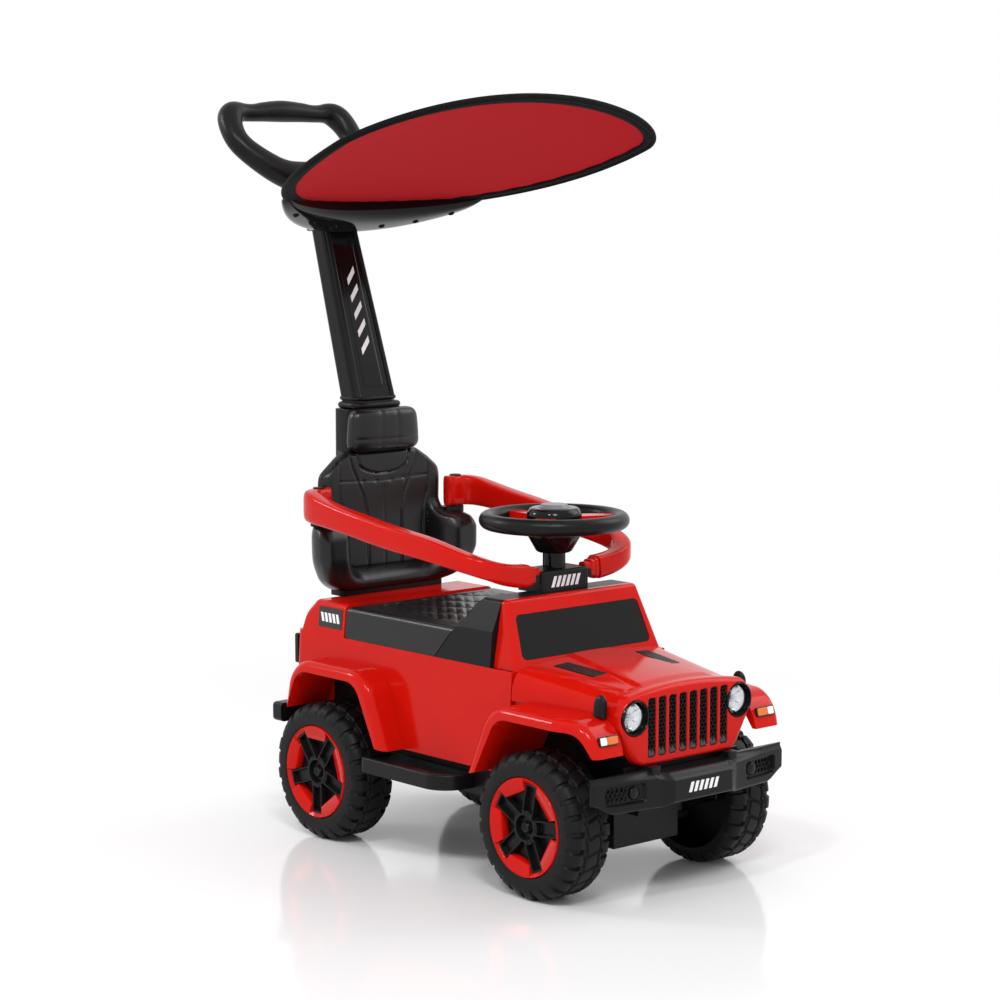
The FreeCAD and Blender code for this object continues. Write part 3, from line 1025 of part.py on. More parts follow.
# backrest: a loft through level sections, each with a curved back, two wing tips and a dished front
def lean_at(z):
    return s.back_lean * (z - s.back_low_z) / (s.back_top_z - s.back_low_z)


wing_shares = ((s.back_low_z, s.back_low_half, 0.45), (s.back_hip_z, s.back_hip_half, 0.8),
               (s.back_wide_z, s.back_wide_half, 1), (s.back_wing_z, s.back_wing_half, 1),
               (s.back_waist_z, s.back_waist_half, 0.3), (s.back_shoulder_z, s.back_shoulder_half, 0.1),
               (s.back_top_z, s.back_top_half, 0))


def back_section(z, half, share, forward, thin, side):
    half = half - side
    z = min(max(z, s.back_low_z + thin), s.back_top_z - thin)
    wing_y = s.back_front_y - share * (s.back_front_y - s.wing_front_y) + lean_at(z)
    ahead = wing_y - forward
    rear_tip = wing_y + s.back_thick / 2 + share * s.wing_more - thin
    inner = half - s.wing_thick
    back = Part.Arc(Vector(-half, rear_tip, z), Vector(0, s.back_rear_y + lean_at(z) - thin, z),
                    Vector(half, rear_tip, z)).toShape()
    front = Part.Arc(Vector(inner, ahead, z), Vector(0, s.back_front_y + lean_at(z) - forward + s.pad_thick,
                                                     z), Vector(-inner, ahead, z)).toShape()
    tips = [Part.LineSegment(Vector(half, rear_tip, z), Vector(inner, ahead, z)).toShape(),
            Part.LineSegment(Vector(-inner, ahead, z), Vector(-half, rear_tip, z)).toShape()]
    return Part.Wire([back, tips[0], front, tips[1]])


def back_form(forward, thin=0, side=0):
    levels = [back_section(z, half, share, forward, thin, side) for z, half, share in wing_shares]
    return Part.makeLoft(levels, True, True)


back_core = back_form(0)
back_room = back_form(-s.room_front, s.back_wall, s.room_side)
pedestal = block(-s.pedestal_half, s.pedestal_half, s.pedestal_front_y, s.deck_end_y, s.deck_z,
                 s.back_low_z + s.back_thick / 2)
spine_post = block(-s.spine_width / 2, s.spine_width / 2, s.spine_front_y, s.spine_rear_y, s.back_low_z,
                   s.spine_top_z)
spine_post = rounded(spine_post, s.head_round, lambda e: e.BoundBox.YMin > s.spine_rear_y - s.run_gap
                     and e.BoundBox.ZLength > s.head_round)
lug_top = s.guard_low_z - s.seat_gap
lug = block(s.back_shoulder_half - s.wing_thick / 2, s.guard_pin_x, s.guard_pin_y - s.guard_boss,
            s.guard_pin_y + s.guard_boss, lug_top - s.lug_thick, lug_top)
lug = lug.fuse(rod(s.guard_boss, Vector(s.guard_pin_x, s.guard_pin_y, lug_top - s.lug_thick),
                   Vector(s.guard_pin_x, s.guard_pin_y, lug_top)))
spine_room = block(s.back_wall - s.spine_width / 2, s.spine_width / 2 - s.back_wall,
                   s.spine_front_y + s.back_wall, s.spine_rear_y - s.back_wall, s.back_low_z + s.back_wall,
                   s.spine_top_z + s.overrun)
back_shell = back_core.fuse([pedestal, spine_post] + pair(lug)).cut([back_room, spine_room])
back_shell = back_shell.fuse(pair(lug))
pin_hole = rod(s.guard_pin_radius + s.run_gap, Vector(s.guard_pin_x, s.guard_pin_y,
                                                      s.guard_low_z - s.lug_thick / 2),
               Vector(s.guard_pin_x, s.guard_pin_y, guard_top))
back_shell = back_shell.cut(pair(pin_hole))
solid("backrest_shell", back_shell)

pad_half = [(s.back_low_half - s.pad_margin, s.back_hip_z, s.pad_margin),
            (s.back_shoulder_half - s.pad_margin, s.back_waist_z),
            (s.back_shoulder_half - s.pad_margin, s.back_shoulder_z - s.pad_margin / 2, s.pad_margin),
            (s.back_top_half - s.pad_margin, s.back_top_z - s.pad_margin / 2)]
pad_area = front_prism(pad_half + [(-p[0],) + p[1:] for p in reversed(pad_half)], 0, far)
pad = back_form(s.pad_thick).common(pad_area).cut([back_form(s.seat_gap), pedestal])
solid("backrest_pad", pad)

head_low = s.back_top_z + s.seat_gap
head = front_prism([(-s.head_low_half, head_low, s.head_round), (s.head_low_half, head_low, s.head_round),
                    (s.head_top_half, s.head_top_z, s.head_round),
                    (-s.head_top_half, s.head_top_z, s.head_round)], s.head_front_y,
                   s.spine_front_y - s.seat_gap)
head = rounded(head, s.head_round * 2 / 3, lambda e: e.BoundBox.YMax < s.head_front_y + s.run_gap)
solid("headrest_pad", head)


# push column, collar and handle
def plate_section(width, depth, y, z, grow):
    half_w, half_d = width / 2 + grow, depth / 2 + grow
    wire = outline([(-half_w, -half_d, s.column_round), (half_w, -half_d, s.column_round),
                    (half_w, half_d, s.column_round), (-half_w, half_d, s.column_round)])
    wire.translate(Vector(0, y, z))
    return wire


def column_at(z):
    share = (z - s.spine_top_z) / (s.column_top_z - s.spine_top_z)
    return [low + (top - low) * share for low, top in ((s.column_low_width, s.column_top_width),
                                                       (s.column_low_depth, s.column_top_depth),
                                                       (s.column_low_y, s.column_top_y))]


def column_form(low, high, grow):
    return Part.makeLoft([plate_section(*column_at(z), z, grow) for z in (low, high)], True, True)


column = column_form(s.spine_top_z, s.column_top_z, 0)
solid("push_column", column.cut(column_form(s.spine_top_z - s.overrun, s.column_top_z + s.overrun,
                                            -s.column_wall)))
collar_top = s.spine_top_z + s.collar_height
collar = column_form(s.spine_top_z, collar_top, s.collar_wall)
collar = rounded(collar, s.collar_wall * 2 / 3, lambda e: e.BoundBox.ZMin > collar_top - s.run_gap)
solid("column_collar", collar.cut(column_form(s.spine_top_z - s.overrun, collar_top + s.overrun,
                                              s.seat_gap)))

handle_rise = Vector(0, s.handle_top_y - s.column_top_y, s.handle_top_z - s.column_top_z)
handle_tall = handle_rise.Length
handle_tilt = math.degrees(math.atan2(handle_rise.z, handle_rise.y))
handle_wide_share = 0.72
half_loop = [(s.handle_low_half, s.handle_low_reach, s.handle_low_half),
             (s.handle_half, handle_tall * handle_wide_share, s.handle_corner),
             (s.handle_top_half, handle_tall, s.handle_top_corner)]
loop = outline(half_loop + [(-p[0],) + p[1:] for p in reversed(half_loop)])


def on_handle(shape):
    shape.rotate(centre, across, handle_tilt)
    shape.translate(Vector(0, s.column_top_y, s.column_top_z))
    return shape


start = loop.Edges[0].valueAt(loop.Edges[0].FirstParameter)
heading = loop.Edges[0].tangentAt(loop.Edges[0].FirstParameter)
ring = Part.Wire(Part.Circle(start, heading, s.handle_tube).toShape())
handle = on_handle(loop.makePipeShell([ring], True, False))
neck_end = s.column_top_z + handle_rise.z * s.handle_low_reach / handle_tall
neck_y = s.column_top_y + handle_rise.y * s.handle_low_reach / handle_tall
neck = Part.makeLoft([plate_section(s.column_top_width, s.column_top_depth, s.column_top_y, s.column_top_z,
                                    0), plate_section(s.neck_width, s.neck_depth, neck_y, neck_end, 0)],
                     True, True)
solid("push_handle", handle.fuse(neck), merge=False)


# shade: a bent egg-shaped sheet with a bound edge, built level and then pitched
def half_oval(wide, deep, way):
    tip = Vector(0, way * deep, 0)
    side = Vector(wide, 0, 0)
    if deep >= wide:
        return Part.ArcOfEllipse(Part.Ellipse(tip, side, centre), -math.pi / 2, math.pi / 2).toShape()
    return Part.ArcOfEllipse(Part.Ellipse(side, tip, centre), 0, math.pi).toShape()


bend = (s.shade_half ** 2 + s.shade_sag ** 2) / (2 * s.shade_sag)
shade_reach = s.shade_front + s.shade_rear + s.bracket_mid_out


def egg(inset):
    arcs = [half_oval(s.shade_half - inset, s.shade_front - inset, -1),
            half_oval(s.shade_half - inset, s.shade_rear - inset, 1)]
    face = Part.Face(Part.Wire(Part.sortEdges(arcs)[0]))
    face.translate(upward * (-shade_reach))
    return face.extrude(upward * (2 * shade_reach))


def layer(low, high):
    # the bent sheet between two distances from its middle surface
    start = Vector(0, -shade_reach, -bend)
    return Part.makeCylinder(bend + high, 2 * shade_reach, start,
                             along).cut(Part.makeCylinder(bend + low, 2 * shade_reach, start, along))


def pitched(shape):
    shape.rotate(centre, across, -s.shade_pitch)
    shape.translate(Vector(0, s.shade_y, s.shade_z))
    return shape


cloth_half, bind_half, hoop_half = s.cloth_thick / 2, s.binding_thick / 2, s.hoop_thick / 2
hoop_out = (s.binding_width - s.hoop_width) / 3
hoop_in = hoop_out + s.hoop_width
cloth_edge = hoop_in + s.seat_gap
binding = layer(-bind_half, bind_half).common(egg(0).cut(egg(s.binding_width)))
binding = binding.cut(layer(-cloth_half - s.seat_gap, cloth_half + s.seat_gap).common(egg(hoop_in)))
binding = binding.cut(layer(-hoop_half - s.seat_gap,
                            hoop_half + s.seat_gap).common(egg(hoop_out - s.seat_gap).cut(egg(cloth_edge))))
solid("canopy_binding", pitched(binding))
solid("canopy_fabric", pitched(layer(-cloth_half, cloth_half).common(egg(cloth_edge + s.seat_gap))))
solid("canopy_hoop", pitched(layer(-hoop_half, hoop_half).common(egg(hoop_out).cut(egg(hoop_in)))))


def crescent():
    outer = Part.Arc(Vector(-s.bracket_half, s.bracket_end_out, 0), Vector(0, s.bracket_mid_out, 0),
                     Vector(s.bracket_half, s.bracket_end_out, 0)).toShape()
    inner = Part.Arc(Vector(s.bracket_half, s.bracket_end_in, 0), Vector(0, s.bracket_mid_in, 0),
                     Vector(-s.bracket_half, s.bracket_end_in, 0)).toShape()
    ends = [Part.LineSegment(Vector(way * s.bracket_half, s.bracket_end_out, 0),
                             Vector(way * s.bracket_half, s.bracket_end_in, 0)).toShape()
            for way in (1, -1)]
    face = Part.Face(Part.Wire([outer, ends[0], inner, ends[1]]))
    face.translate(upward * (-shade_reach))
    return face.extrude(upward * (2 * shade_reach))


under = -bind_half - s.seat_gap
bracket_low = under - s.bracket_depth
lower = layer(bracket_low - s.shade_sag, under).common(crescent())
lower = lower.common(block(-far, far, -far, far, bracket_low, far))
lower = rounded(lower, s.bracket_round, lambda e: e.BoundBox.ZMax < bracket_low + s.run_gap
                and e.BoundBox.XLength > s.bracket_half and e.BoundBox.YMax > s.bracket_mid_in + s.run_gap)
lower = lower.fuse(layer(under, bind_half).common(crescent().cut(egg(-s.seat_gap))))
socket_low = s.column_top_z - s.socket_depth
column_hole = column_form(socket_low - s.overrun, s.column_top_z + s.overrun, s.seat_gap)
above = block(-far, far, s.column_top_y - s.column_top_depth / 2 - s.seat_gap, far,
              s.column_top_z - s.seat_gap, s.column_top_z + far)
lower = pitched(lower).fuse(column_form(socket_low, s.column_top_z - s.socket_wall / 2,
                                        s.socket_wall)).cut([column_hole, above])
screw_v = (s.bracket_end_in + s.bracket_mid_out) / 2


def screw(radius, low, high):
    return pair(rod(radius, Vector(s.screw_x, screw_v, low), Vector(s.screw_x, screw_v, high)))


screw_top = under - s.bracket_depth / 2
screw_floor = bracket_low - s.shade_sag
lower = lower.cut([pitched(hole) for hole in screw(s.screw_radius + s.seat_gap, screw_floor, screw_top)])
solid("bracket_lower", lower)
solid("bracket_screws", Part.makeCompound([pitched(item)
                                           for item in screw(s.screw_radius, screw_top - s.screw_radius,
                                                             screw_top)]))
upper = pitched(layer(bind_half + s.seat_gap, bind_half + s.seat_gap + s.bracket_cap).common(crescent()))
upper = upper.cut([column_form(socket_low, s.column_top_z + s.overrun, s.socket_wall + s.seat_gap), above])
solid("bracket_upper", max(upper.Solids, key=lambda piece: piece.Volume))


# guard arms
rear_shares = ((0, 1), (0.5, 0.995), (0.85, 0.955), (1, 0.88))
middle_shares = ((1.02, 0.61), (1.01, 0.33), (0.98, 0))
front_shares = ((0.89, 0.52), (0.775, 0.8), (0.59, 0.96), (0.29, 1), (0, 1))
drop_shares = (0, 0, 0, 0.02, 0.127, 0.298, 0.455, 0.564, 0.665, 0.79, 0.945, 1)
height_shares = (0, 0, 0.05, 0.36, 0.86, 0.91, 1.09, 1.41, 1.5, 1.36, 1.11, 1)


def guard_path():
    out, inward = s.guard_half - s.guard_pin_x, s.guard_half - s.guard_end_x
    points = [(s.guard_pin_x + a * out, s.guard_pin_y * b) for a, b in rear_shares]
    points += [(s.guard_half * a, s.guard_pin_y * b) for a, b in middle_shares]
    points += [(s.guard_end_x + a * inward, -s.guard_front_y * b) for a, b in front_shares]
    return points


def guard_section(spot, heading, low, height):
    half_t, half_h = s.guard_thick / 2, height / 2
    wire = outline([(-half_t, -half_h, s.guard_round), (half_t, -half_h, s.guard_round),
                    (half_t, half_h, s.guard_round), (-half_t, half_h, s.guard_round)])
    wire.rotate(centre, across, 90)
    wire.rotate(centre, upward, math.degrees(math.atan2(heading[1], heading[0])) + 90)
    wire.translate(Vector(spot[0], spot[1], low + half_h))
    return wire


route = guard_path()
sections = []
for i, spot in enumerate(route):
    before, after = route[max(i - 1, 0)], route[min(i + 1, len(route) - 1)]
    heading = (after[0] - before[0], after[1] - before[1])
    if i == 0:
        heading = (1, 0)
    if i == len(route) - 1:
        heading = (-1, 0)
    low = s.guard_low_z - drop_shares[i] * (s.guard_low_z - s.guard_front_z)
    height = s.guard_rear_height + height_shares[i] * (s.guard_front_height - s.guard_rear_height)
    sections.append(guard_section(spot, heading, low, height))
guard = Part.makeLoft(sections, True, False)
guard = guard.fuse(rod(s.guard_boss, Vector(s.guard_pin_x, s.guard_pin_y, s.guard_low_z),
                       Vector(s.guard_pin_x, s.guard_pin_y, guard_top)))
guard = guard.cut(rod(s.guard_pin_radius + s.run_gap, Vector(s.guard_pin_x, s.guard_pin_y, 0),
                      Vector(s.guard_pin_x, s.guard_pin_y, guard_top + s.overrun)))
guard = guard.cut(block(s.guard_end_x - s.overrun, s.guard_end_x + s.tongue_reach + s.socket_skin,
                        tongue_y - s.guard_thick / 2 + s.socket_skin,
                        tongue_y + s.guard_thick / 2 - s.socket_skin,
                        tongue_z - s.tongue_height / 2 - s.lid_gap,
                        tongue_z + s.tongue_height / 2 + s.lid_gap))
solid("guard_arm_left", guard)
solid("guard_arm_right", mirrored(guard))
cap_low = guard_top + s.seat_gap
guard_cap = rod(s.guard_boss - s.socket_skin, Vector(s.guard_pin_x, s.guard_pin_y, cap_low),
                Vector(s.guard_pin_x, s.guard_pin_y, cap_low + s.guard_cap))
guard_cap = rounded(guard_cap, s.guard_cap / 2, lambda e: e.BoundBox.ZMin > cap_low + s.run_gap
                    and e.BoundBox.ZLength < s.run_gap)
solid("guard_caps", Part.makeCompound(pair(guard_cap)))


# footboards
board = plan_prism([(s.board_inner, -s.board_front_y), (s.board_outer, -s.board_front_y, s.board_corner),
                    (s.board_outer, s.board_back_y, s.board_rim), (s.board_inner, s.board_back_y)],
                   s.board_low_z, s.board_top_z)
tread = plan_prism([(s.pan_half + s.board_rim, s.board_rim - s.board_front_y),
                    (s.board_outer - s.board_rim, s.board_rim - s.board_front_y,
                     s.board_corner - s.board_rim), (s.board_outer - s.board_rim,
                                                     s.board_back_y - s.board_rim),
                    (s.pan_half + s.board_rim, s.board_back_y - s.board_rim)], s.board_top_z - s.board_sink,
                   s.board_top_z + s.overrun)
board = rounded(board.cut(tread), s.board_sink, lambda e: e.BoundBox.ZMin > s.board_top_z - s.run_gap
                and e.BoundBox.XMax > s.board_outer - s.board_corner - s.run_gap
                and e.BoundBox.XMax > s.board_outer - s.board_rim + s.run_gap)
solid("footboard_left", board)
solid("footboard_right", mirrored(board))


# every object is tested before anything is written
document.recompute()
for item in document.Objects:
    if "Invalid" in item.State or "Error" in item.State:
        raise RuntimeError("%s is %s" % (item.Label, item.State))
for item in pieces:
    shape = item.Shape
    if shape.isNull() or not shape.isValid() or not shape.Solids:
        raise RuntimeError("%s has no sound solid" % item.Label)
os.makedirs("parts", exist_ok=True)
for item in pieces:
    item.Shape.exportStep("parts/%s.step" % item.Label)
whole = FreeCAD.BoundBox()
for item in pieces:
    whole.add(item.Shape.BoundBox)
print("pieces", len(pieces), "box", [round(v, 2)
                                     for v in (whole.XMin, whole.XMax, whole.YMin, whole.YMax, whole.ZMin,
                                               whole.ZMax)])
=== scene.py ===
import bpy
import json
import math
import numpy as np
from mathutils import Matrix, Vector


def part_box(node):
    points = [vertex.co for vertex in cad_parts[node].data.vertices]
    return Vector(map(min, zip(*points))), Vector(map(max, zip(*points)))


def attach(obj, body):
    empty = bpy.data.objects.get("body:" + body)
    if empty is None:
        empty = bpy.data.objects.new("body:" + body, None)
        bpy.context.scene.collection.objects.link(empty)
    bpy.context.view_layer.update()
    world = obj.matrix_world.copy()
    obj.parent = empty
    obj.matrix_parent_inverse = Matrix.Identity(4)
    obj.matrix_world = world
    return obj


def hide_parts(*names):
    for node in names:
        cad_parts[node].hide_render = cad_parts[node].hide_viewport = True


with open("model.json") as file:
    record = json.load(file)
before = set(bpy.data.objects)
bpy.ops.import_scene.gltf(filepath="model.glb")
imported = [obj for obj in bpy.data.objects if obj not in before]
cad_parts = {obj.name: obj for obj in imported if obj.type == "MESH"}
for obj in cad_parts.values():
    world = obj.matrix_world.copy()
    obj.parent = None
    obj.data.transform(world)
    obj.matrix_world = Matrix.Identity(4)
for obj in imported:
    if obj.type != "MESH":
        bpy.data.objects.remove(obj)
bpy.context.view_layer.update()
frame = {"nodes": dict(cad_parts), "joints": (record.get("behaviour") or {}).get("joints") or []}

# pieces are written in millimetres about the middle of the wheelbase, and go into the frame in metres
mm = 0.001
spinAt = {j["name"]: j["pos_m"] for j in frame["joints"] if j.get("pos_m")}
midY = (spinAt["wheel_front_left_spin"][1] + spinAt["wheel_rear_left_spin"][1]) / 2
print("frame", len(frame["nodes"]), "nodes, wheelbase middle at", round(midY, 5))


def inFrame(x, y, z):
    x, y, z = np.broadcast_arrays(x, y, z)
    return np.stack([x * mm, y * mm + midY, z * mm], -1)


def nodeBox(node):
    low, high = (np.array(corner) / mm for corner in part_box(node))
    return low - [0, midY / mm, 0], high - [0, midY / mm, 0]


def linear(hexCode):
    # sRGB hex to linear: x / 12.92 below 0.04045, else ((x + 0.055) / 1.055) to the power 2.4
    c = np.array([int(hexCode[i:i + 2], 16) for i in (1, 3, 5)]) / 255
    return [*np.where(c < 0.04045, c / 12.92, ((c + 0.055) / 1.055) ** 2.4), 1]


def softStep(low, high, value):
    # 0 below low, 1 above high, 3t^2 - 2t^3 between
    t = np.clip((value - low) / (high - low), 0, 1)
    return t * t * (3 - 2 * t)


def smoothThrough(value, knots, heights):
    # cubic through the knots; each slope is the harmonic mean of the two runs beside it, so that nothing
    # overshoots
    knots, heights = np.asarray(knots, float), np.asarray(heights, float)
    runs = np.diff(heights) / np.diff(knots)
    before, after = runs[:-1], runs[1:]
    sameWay = before * after > 0
    middle = np.where(sameWay, 2 * before * after / np.where(sameWay, before + after, 1), 0)
    slopes = np.concatenate([runs[:1], middle, runs[-1:]])
    i = np.clip(np.searchsorted(knots, value) - 1, 0, len(knots) - 2)
    span = knots[i + 1] - knots[i]
    t = np.clip((value - knots[i]) / span, 0, 1)
    return ((2 * t ** 3 - 3 * t ** 2 + 1) * heights[i] + (t ** 3 - 2 * t ** 2 + t) * span * slopes[i]
            + (3 * t ** 2 - 2 * t ** 3) * heights[i + 1] + (t ** 3 - t ** 2) * span * slopes[i + 1])


def around(count):
    return np.linspace(0, 2 * math.pi, count, endpoint=False)


def bulged(wave, power):
    # one coordinate of a superellipse, from a cosine or a sine
    return np.sign(wave) * np.abs(wave) ** power


def gridFaces(rows, cols, closeRows, closeCols):
    # quads of a grid whose point (i, j) is number i * cols + j
    i, j = np.meshgrid(np.arange(rows - (not closeRows)), np.arange(cols - (not closeCols)), indexing="ij")
    nextI, nextJ = (i + 1) % rows, (j + 1) % cols
    corners = [i * cols + j, i * cols + nextJ, nextI * cols + nextJ, nextI * cols + j]
    return np.stack(corners, -1).reshape(-1, 4)


def loft(points, closeRows=False):
    # a grid of rows by closed columns; an open run of rows is capped at both ends
    rows, cols = points.shape[:2]
    faceSets = [gridFaces(rows, cols, closeRows, True)]
    if not closeRows:
        ring = np.arange(cols)
        faceSets += [ring[None, ::-1], ring[None] + (rows - 1) * cols]
    return points.reshape(-1, 3), faceSets


def slab(front, back):
    # two grids of one shape, closed along their four edges
    rows, cols = front.shape[:2]
    number = np.arange(rows * cols).reshape(rows, cols)
    rim = np.concatenate([number[0], number[1:, -1], number[-1, -2::-1], number[-2:0:-1, 0]])
    following, size = np.roll(rim, -1), rows * cols
    quads = gridFaces(rows, cols, False, False)
    band = np.stack([following, rim, rim + size, following + size], -1)
    return np.concatenate([front.reshape(-1, 3), back.reshape(-1, 3)]), [quads, quads[:, ::-1] + size, band]


def lathe(centre, r, along, axis, count=96, closed=False):
    # rings of radius r round a centre, each at its own place along the y or the z axis
    turn = around(count)[None]
    r, along = (np.reshape(values, (len(values), -1)) for values in (r, along))
    a, b = centre[0] + r * np.cos(turn), centre[1] + r * np.sin(turn)
    return loft(inFrame(a, along, b) if axis == "y" else inFrame(a, b, along), closed)


def tube(path, sizes, square=2, points=28, normal=(1, 0, 0), closed=False):
    # superellipse sections (half width along the normal, half height beside it) carried along a path
    ahead = np.roll(path, -1, 0) - np.roll(path, 1, 0) if closed else np.gradient(path, axis=0)
    ahead /= np.linalg.norm(ahead, axis=1, keepdims=True)
    first = np.broadcast_to(np.asarray(normal, float), path.shape)
    first = first - ahead * np.sum(first * ahead, 1, keepdims=True)
    first /= np.linalg.norm(first, axis=1, keepdims=True)
    second = np.cross(ahead, first)
    turn = around(points)[None, :, None]
    a, b = bulged(np.cos(turn), 2 / square), bulged(np.sin(turn), 2 / square)
    sizes = np.asarray(sizes, float)
    ring = path[:, None] + first[:, None] * a * sizes[:, :1, None] + second[:, None] * b * sizes[:, 1:, None]
    return loft(inFrame(*np.moveaxis(ring, -1, 0)), closed)


def plate(outline, low, high, onto):
    # a flat outline of (a, b) points given depth from low to high; onto turns (a, b, depth) into (x, y, z)
    a, b = np.asarray(outline, float).T
    return loft(np.stack([inFrame(*onto(a, b, depth)) for depth in (low, high)]))


def alongX(a, b, depth):
    return depth, a, b


def roundedBox(low, high, radius, cornerPoints=5):
    # a rectangle in plan with quarter-circle corners, carried from the lower to the upper height
    (x0, y0, z0), (x1, y1, z1) = low, high
    turn = np.linspace(0, math.pi / 2, cornerPoints)
    quarter = np.concatenate([turn + k * math.pi / 2 for k in range(4)])
    cornerX = np.repeat([x1 - radius, x0 + radius, x0 + radius, x1 - radius], cornerPoints)
    cornerY = np.repeat([y1 - radius, y1 - radius, y0 + radius, y0 + radius], cornerPoints)
    x, y = cornerX + radius * np.cos(quarter), cornerY + radius * np.sin(quarter)
    return loft(np.stack([inFrame(x, y, z0), inFrame(x, y, z1)]))


def mirrored(shell):
    points, faceSets = shell
    return points * [-1, 1, 1], faceSets


def bothSides(*shells):
    return [*shells, *(mirrored(shell) for shell in shells)]


def roundBoxDistance(a, b, half, corner):
    # distance outside a rectangle with rounded corners about the origin, below 0 inside
    overA, overB = np.abs(a) - half[0] + corner, np.abs(b) - half[1] + corner
    beyond = np.hypot(np.maximum(overA, 0), np.maximum(overB, 0))
    return beyond + np.minimum(np.maximum(overA, overB), 0) - corner


def hexWall(a, b, pitch):
    # distance from the nearest wall of a honeycomb with the given pitch across flats
    cell = np.array([1, math.sqrt(3)])
    spot = np.stack(np.broadcast_arrays(a, b), -1) / pitch
    first, second = spot % cell - cell / 2, (spot - cell / 2) % cell - cell / 2
    nearer = np.sum(first ** 2, -1) < np.sum(second ** 2, -1)
    inCell = np.abs(np.where(nearer[..., None], first, second))
    return pitch * (0.5 - np.maximum(inCell[..., 0], inCell[..., 0] / 2 + inCell[..., 1] * math.sqrt(3) / 2))


def edgeRound(depth, radius):
    # how far a surface falls back at a depth inside its edge that is rounded over by a radius
    inside = np.clip(radius - depth, 0, radius)
    return radius - np.sqrt(radius ** 2 - inside ** 2)


def signedVolume(points, faceSets):
    total = 0
    for faces in faceSets:
        for k in range(1, faces.shape[1] - 1):
            crossed = np.cross(points[faces[:, k]], points[faces[:, k + 1]])
            total += np.sum(points[faces[:, 0]] * crossed)
    return total


def makePiece(name, shells, material, replaced=(), body="car", sharp=40, bevel=0, melt=0):
    # each shell is turned so that its faces point outwards; edges past the sharp angle (degrees) stay hard
    pointSets, loops, counts, base = [], [], [], 0
    for points, faceSets in shells:
        turn = -1 if signedVolume(points, faceSets) < 0 else 1
        for faces in faceSets:
            loops.append((faces[:, ::turn] + base).ravel())
            counts.append(np.full(len(faces), faces.shape[1]))
        pointSets.append(points)
        base += len(points)
    loops, counts = np.concatenate(loops), np.concatenate(counts)
    mesh = bpy.data.meshes.new(name)
    mesh.vertices.add(base)
    mesh.vertices.foreach_set("co", np.concatenate(pointSets).astype(np.float32).ravel())
    mesh.loops.add(len(loops))
    mesh.loops.foreach_set("vertex_index", loops.astype(np.int32))
    mesh.polygons.add(len(counts))
    mesh.polygons.foreach_set("loop_start", np.concatenate([[0], np.cumsum(counts)[:-1]]).astype(np.int32))
    mesh.polygons.foreach_set("use_smooth", np.ones(len(counts), bool))
    mesh.update(calc_edges=True)
    mesh.validate()
    mesh.set_sharp_from_angle(angle=math.radians(sharp))
    mesh.materials.append(material)
    piece = bpy.data.objects.new(name, mesh)
    bpy.context.scene.collection.objects.link(piece)
    if bevel:
        rounding = piece.modifiers.new("rounding", "BEVEL")
        rounding.width, rounding.segments, rounding.harden_normals = bevel * mm, 3, True
        rounding.angle_limit = math.radians(30)
    if melt:
        # one skin over the shells, with their joints smoothed
        joined = piece.modifiers.new("joined", "REMESH")
        joined.mode, joined.voxel_size, joined.use_smooth_shade = "VOXEL", melt * mm, True
        eased = piece.modifiers.new("eased", "SMOOTH")
        eased.factor, eased.iterations = 0.5, 14
    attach(piece, body)
    if replaced:
        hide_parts(*replaced)
    return piece


def addNode(tree, kind, settings=None, inputs=None):
    node = tree.nodes.new(kind)
    for key, value in (settings or {}).items():
        setattr(node, key, value)
    for socket, value in (inputs or {}).items():
        if isinstance(value, bpy.types.NodeSocket):
            tree.links.new(value, node.inputs[socket])
        else:
            node.inputs[socket].default_value = value
    return node


def newMaterial(name, hexCode, **sockets):
    material = bpy.data.materials.new(name)
    material.use_nodes = True
    tree = material.node_tree
    shader = tree.nodes["Principled BSDF"]
    shader.inputs["Base Color"].default_value = linear(hexCode)
    for socket, value in sockets.items():
        shader.inputs[socket.replace("_", " ")].default_value = value
    where = addNode(tree, "ShaderNodeTexCoord").outputs["Object"]
    return material, tree, shader, where


def shadeBetween(tree, shader, factor, hexCodes):
    # the base colour runs between two hex colours with the factor
    ramp = addNode(tree, "ShaderNodeValToRGB", inputs={"Fac": factor})
    for element, hexCode in zip(ramp.color_ramp.elements, hexCodes):
        element.color = linear(hexCode)
    tree.links.new(ramp.outputs["Color"], shader.inputs["Base Color"])


def raiseBy(tree, shader, height, strength, depthMm):
    bump = addNode(tree, "ShaderNodeBump",
                   inputs={"Height": height, "Strength": strength, "Distance": depthMm * mm})
    tree.links.new(bump.outputs["Normal"], shader.inputs["Normal"])


def mouldedPlastic(name, hexCodes, roughness, detail, rippleMm, strength, shine=0.5):
    # moulded ABS or polyolefin: one even colour with faint flow clouds, and the mould's own skin as a fine
    # ripple that bends the reflections
    material, tree, shader, where = newMaterial(name, hexCodes[0], Roughness=roughness, IOR=1.5,
                                                Specular_IOR_Level=shine)
    cloudMm, skinMm, leastShare, mostShare = 55, 0.1, 0.8, 1.25
    cloud = addNode(tree, "ShaderNodeTexNoise",
                    inputs={"Vector": where, "Scale": 1 / (cloudMm * mm), "Detail": 3})
    shadeBetween(tree, shader, cloud.outputs["Fac"], hexCodes)
    skin = addNode(tree, "ShaderNodeTexNoise",
                   inputs={"Vector": where, "Scale": 1 / (rippleMm * mm), "Detail": detail})
    raiseBy(tree, shader, skin.outputs["Fac"], strength, skinMm)
    spread = addNode(tree, "ShaderNodeMapRange", inputs={
        "Value": cloud.outputs["Fac"], "To Min": roughness * leastShare, "To Max": roughness * mostShare})
    tree.links.new(spread.outputs["Result"], shader.inputs["Roughness"])
    return material


